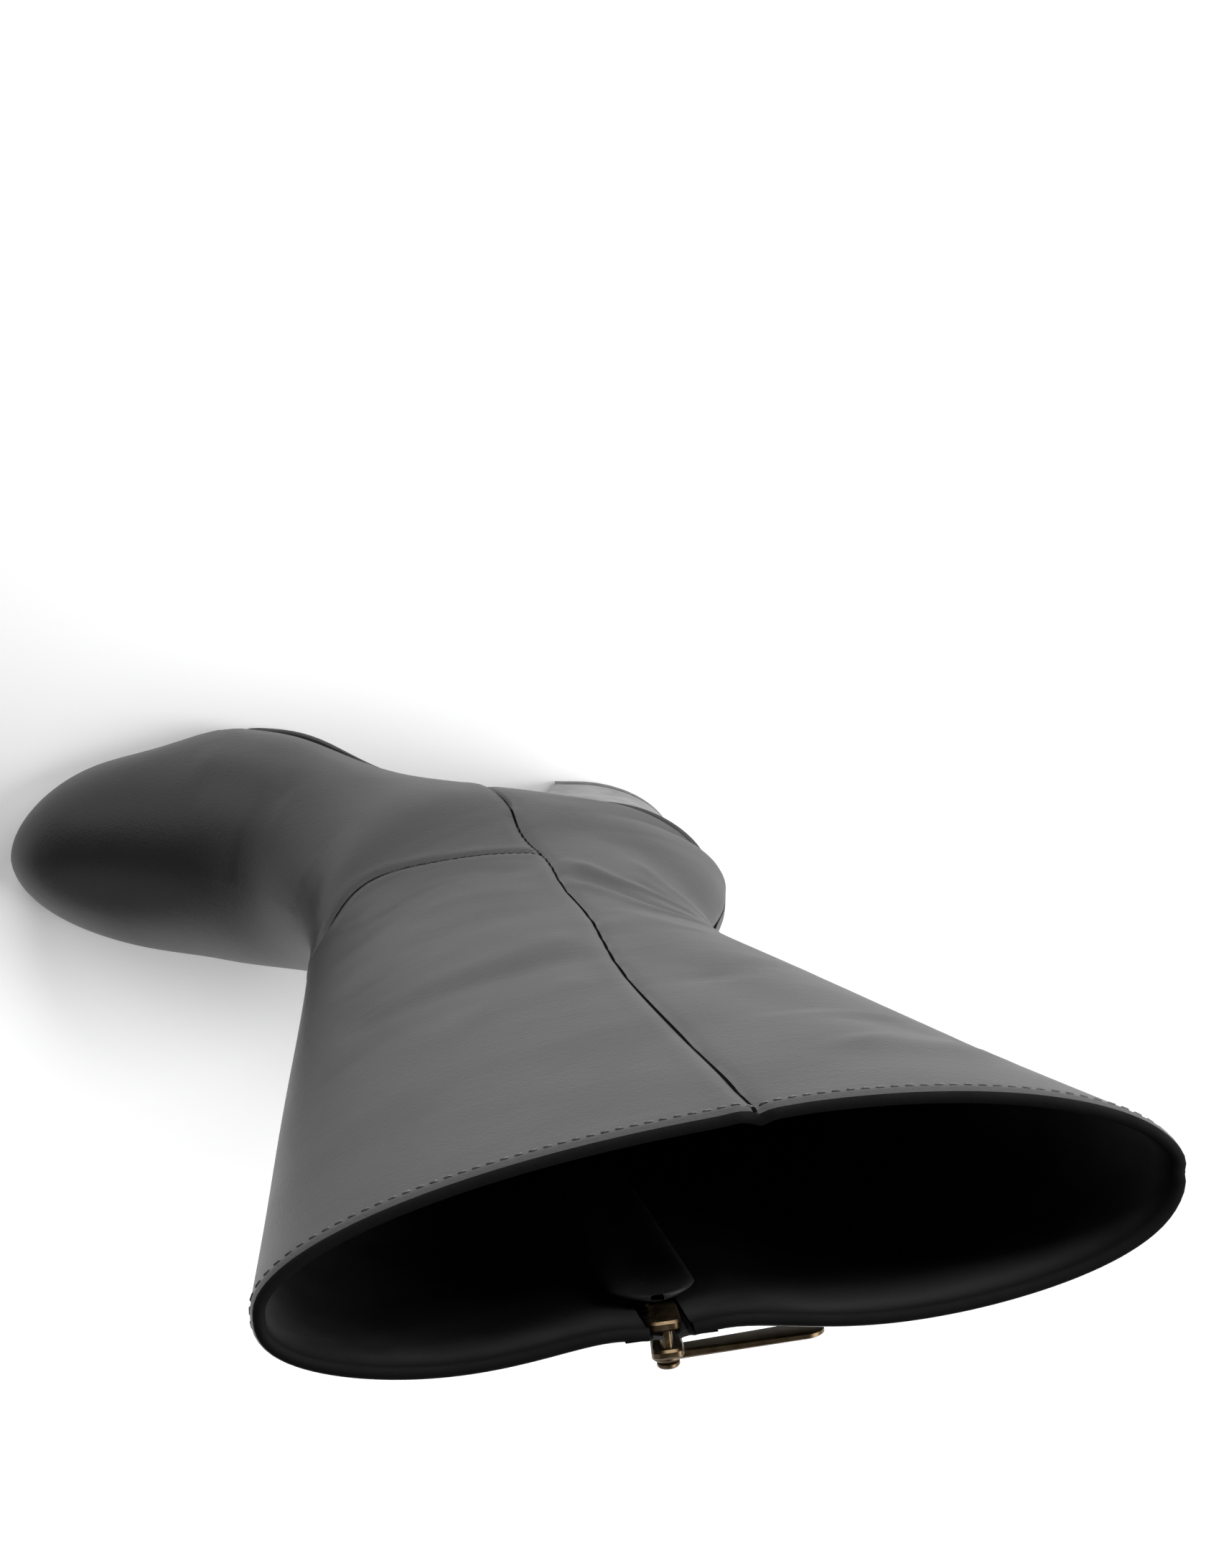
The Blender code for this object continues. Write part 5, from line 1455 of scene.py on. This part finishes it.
# Name, place, width and watts
LIGHTS = (
    ("heel_light", (-1491.0, 0.0, 1555.0), 1200.0, 38.0),
    ("back_light", (-1342.0, -1412.0, 799.0), 1200.0, 30.0),
    ("outer_light", (70.0, -1997.0, 799.0), 1200.0, 32.0),
    ("toe_light", (1482.0, -1412.0, 799.0), 1200.0, 4.5),
    ("inner_light", (1174.0, 1104.0, 1555.0), 2400.0, 10.0),
)
LIGHT_AIM = (70.0, 0.0, 150.0)
CAMERA_PLACE = (79.30655, -154.64147, 821.38319)
CAMERA_RIGHT = (-0.99858733, -0.01614703, 0.05062236)
CAMERA_DOWN = (-0.00792123, 0.98730091, 0.1586637)
CAMERA_LOOK = (-0.05254145, 0.15803857, -0.98603408)
FOCAL_PIXELS = 3231.469
IMAGE_HEIGHT = 2184.0
SENSOR_HEIGHT = 36.0
CLIP_START = 0.01
CLIP_END = 100.0

floor_paint, tree, shader = new_finish("white_floor")
tree.links.new(tint(tree, mottle(tree, 400.0), FLOOR_WHITE, FLOOR_WARM), shader.inputs["Base Color"])
shader.inputs["Roughness"].default_value = 0.9
shader.inputs["Specular IOR Level"].default_value = 0.1
place = on_piece(tree)
away = add_node(tree, "ShaderNodeVectorMath", {0: place}, operation="LENGTH").outputs["Value"]
glow = ramp(tree, away, FLOOR_GLOW_FROM * MM, FLOOR_GLOW_FULL * MM, 0.0, FLOOR_GLOW)
# Painted light: the floor's glow on the boot's inner side lifts the boot's cast shadow there.
aside = add_node(tree, "ShaderNodeVectorMath", {0: place, 1: INNER_GLOW_TOWARDS}, operation="DOT_PRODUCT")
inner_glow = ramp(tree, aside.outputs["Value"], INNER_GLOW_FROM * MM, INNER_GLOW_FULL * MM, 0.0, INNER_GLOW)
tree.links.new(reckon(tree, "MAXIMUM", glow, inner_glow), shader.inputs["Emission Strength"])
shader.inputs["Emission Color"].default_value = (*FLOOR_WHITE, 1.0)

floor_mesh = bpy.data.meshes.new("floor")
reach = FLOOR_REACH * MM
floor_corners = [(-reach, -reach, 0), (reach, -reach, 0), (reach, reach, 0), (-reach, reach, 0)]
floor_mesh.from_pydata(floor_corners, [], [(0, 1, 2, 3)])
floor_mesh.materials.append(floor_paint)
floor = bpy.data.objects.new("floor", floor_mesh)
bpy.context.scene.collection.objects.link(floor)

world = bpy.data.worlds.new("studio")
bpy.context.scene.world = world
world.use_nodes = True
tree = world.node_tree
place = add_node(tree, "ShaderNodeTexCoord", {}).outputs["Generated"]
up_share = add_node(tree, "ShaderNodeSeparateXYZ", {"Vector": place}).outputs["Z"]
sky = tint(tree, ramp(tree, up_share, 0.0, SKY_TURN), SKY_LOW, SKY_HIGH)
tree.links.new(sky, tree.nodes["Background"].inputs["Color"])

for name, place, width, watts in LIGHTS:
    lamp = bpy.data.lights.new(name, "AREA")
    lamp.shape = "DISK"
    lamp.size = width * MM
    lamp.energy = watts
    holder = bpy.data.objects.new(name, lamp)
    stand = Vector(place) + Vector(boot_place)
    holder.location = stand * MM
    aim = Vector(LIGHT_AIM) + Vector(boot_place)
    holder.rotation_euler = (aim - stand).to_track_quat("-Z", "Y").to_euler()
    bpy.context.scene.collection.objects.link(holder)

lens = bpy.data.cameras.new("camera")
lens.sensor_fit = "VERTICAL"
lens.sensor_height = SENSOR_HEIGHT
lens.lens = SENSOR_HEIGHT * FOCAL_PIXELS / IMAGE_HEIGHT
lens.clip_start = CLIP_START
lens.clip_end = CLIP_END
camera = bpy.data.objects.new("camera", lens)
turn = Matrix((CAMERA_RIGHT, [-c for c in CAMERA_DOWN], [-c for c in CAMERA_LOOK])).transposed().to_4x4()
turn.translation = (Vector(CAMERA_PLACE) + Vector(boot_place)) * MM
camera.matrix_world = turn
bpy.context.scene.collection.objects.link(camera)
bpy.context.scene.camera = camera
bpy.context.scene.view_settings.view_transform = "Standard"
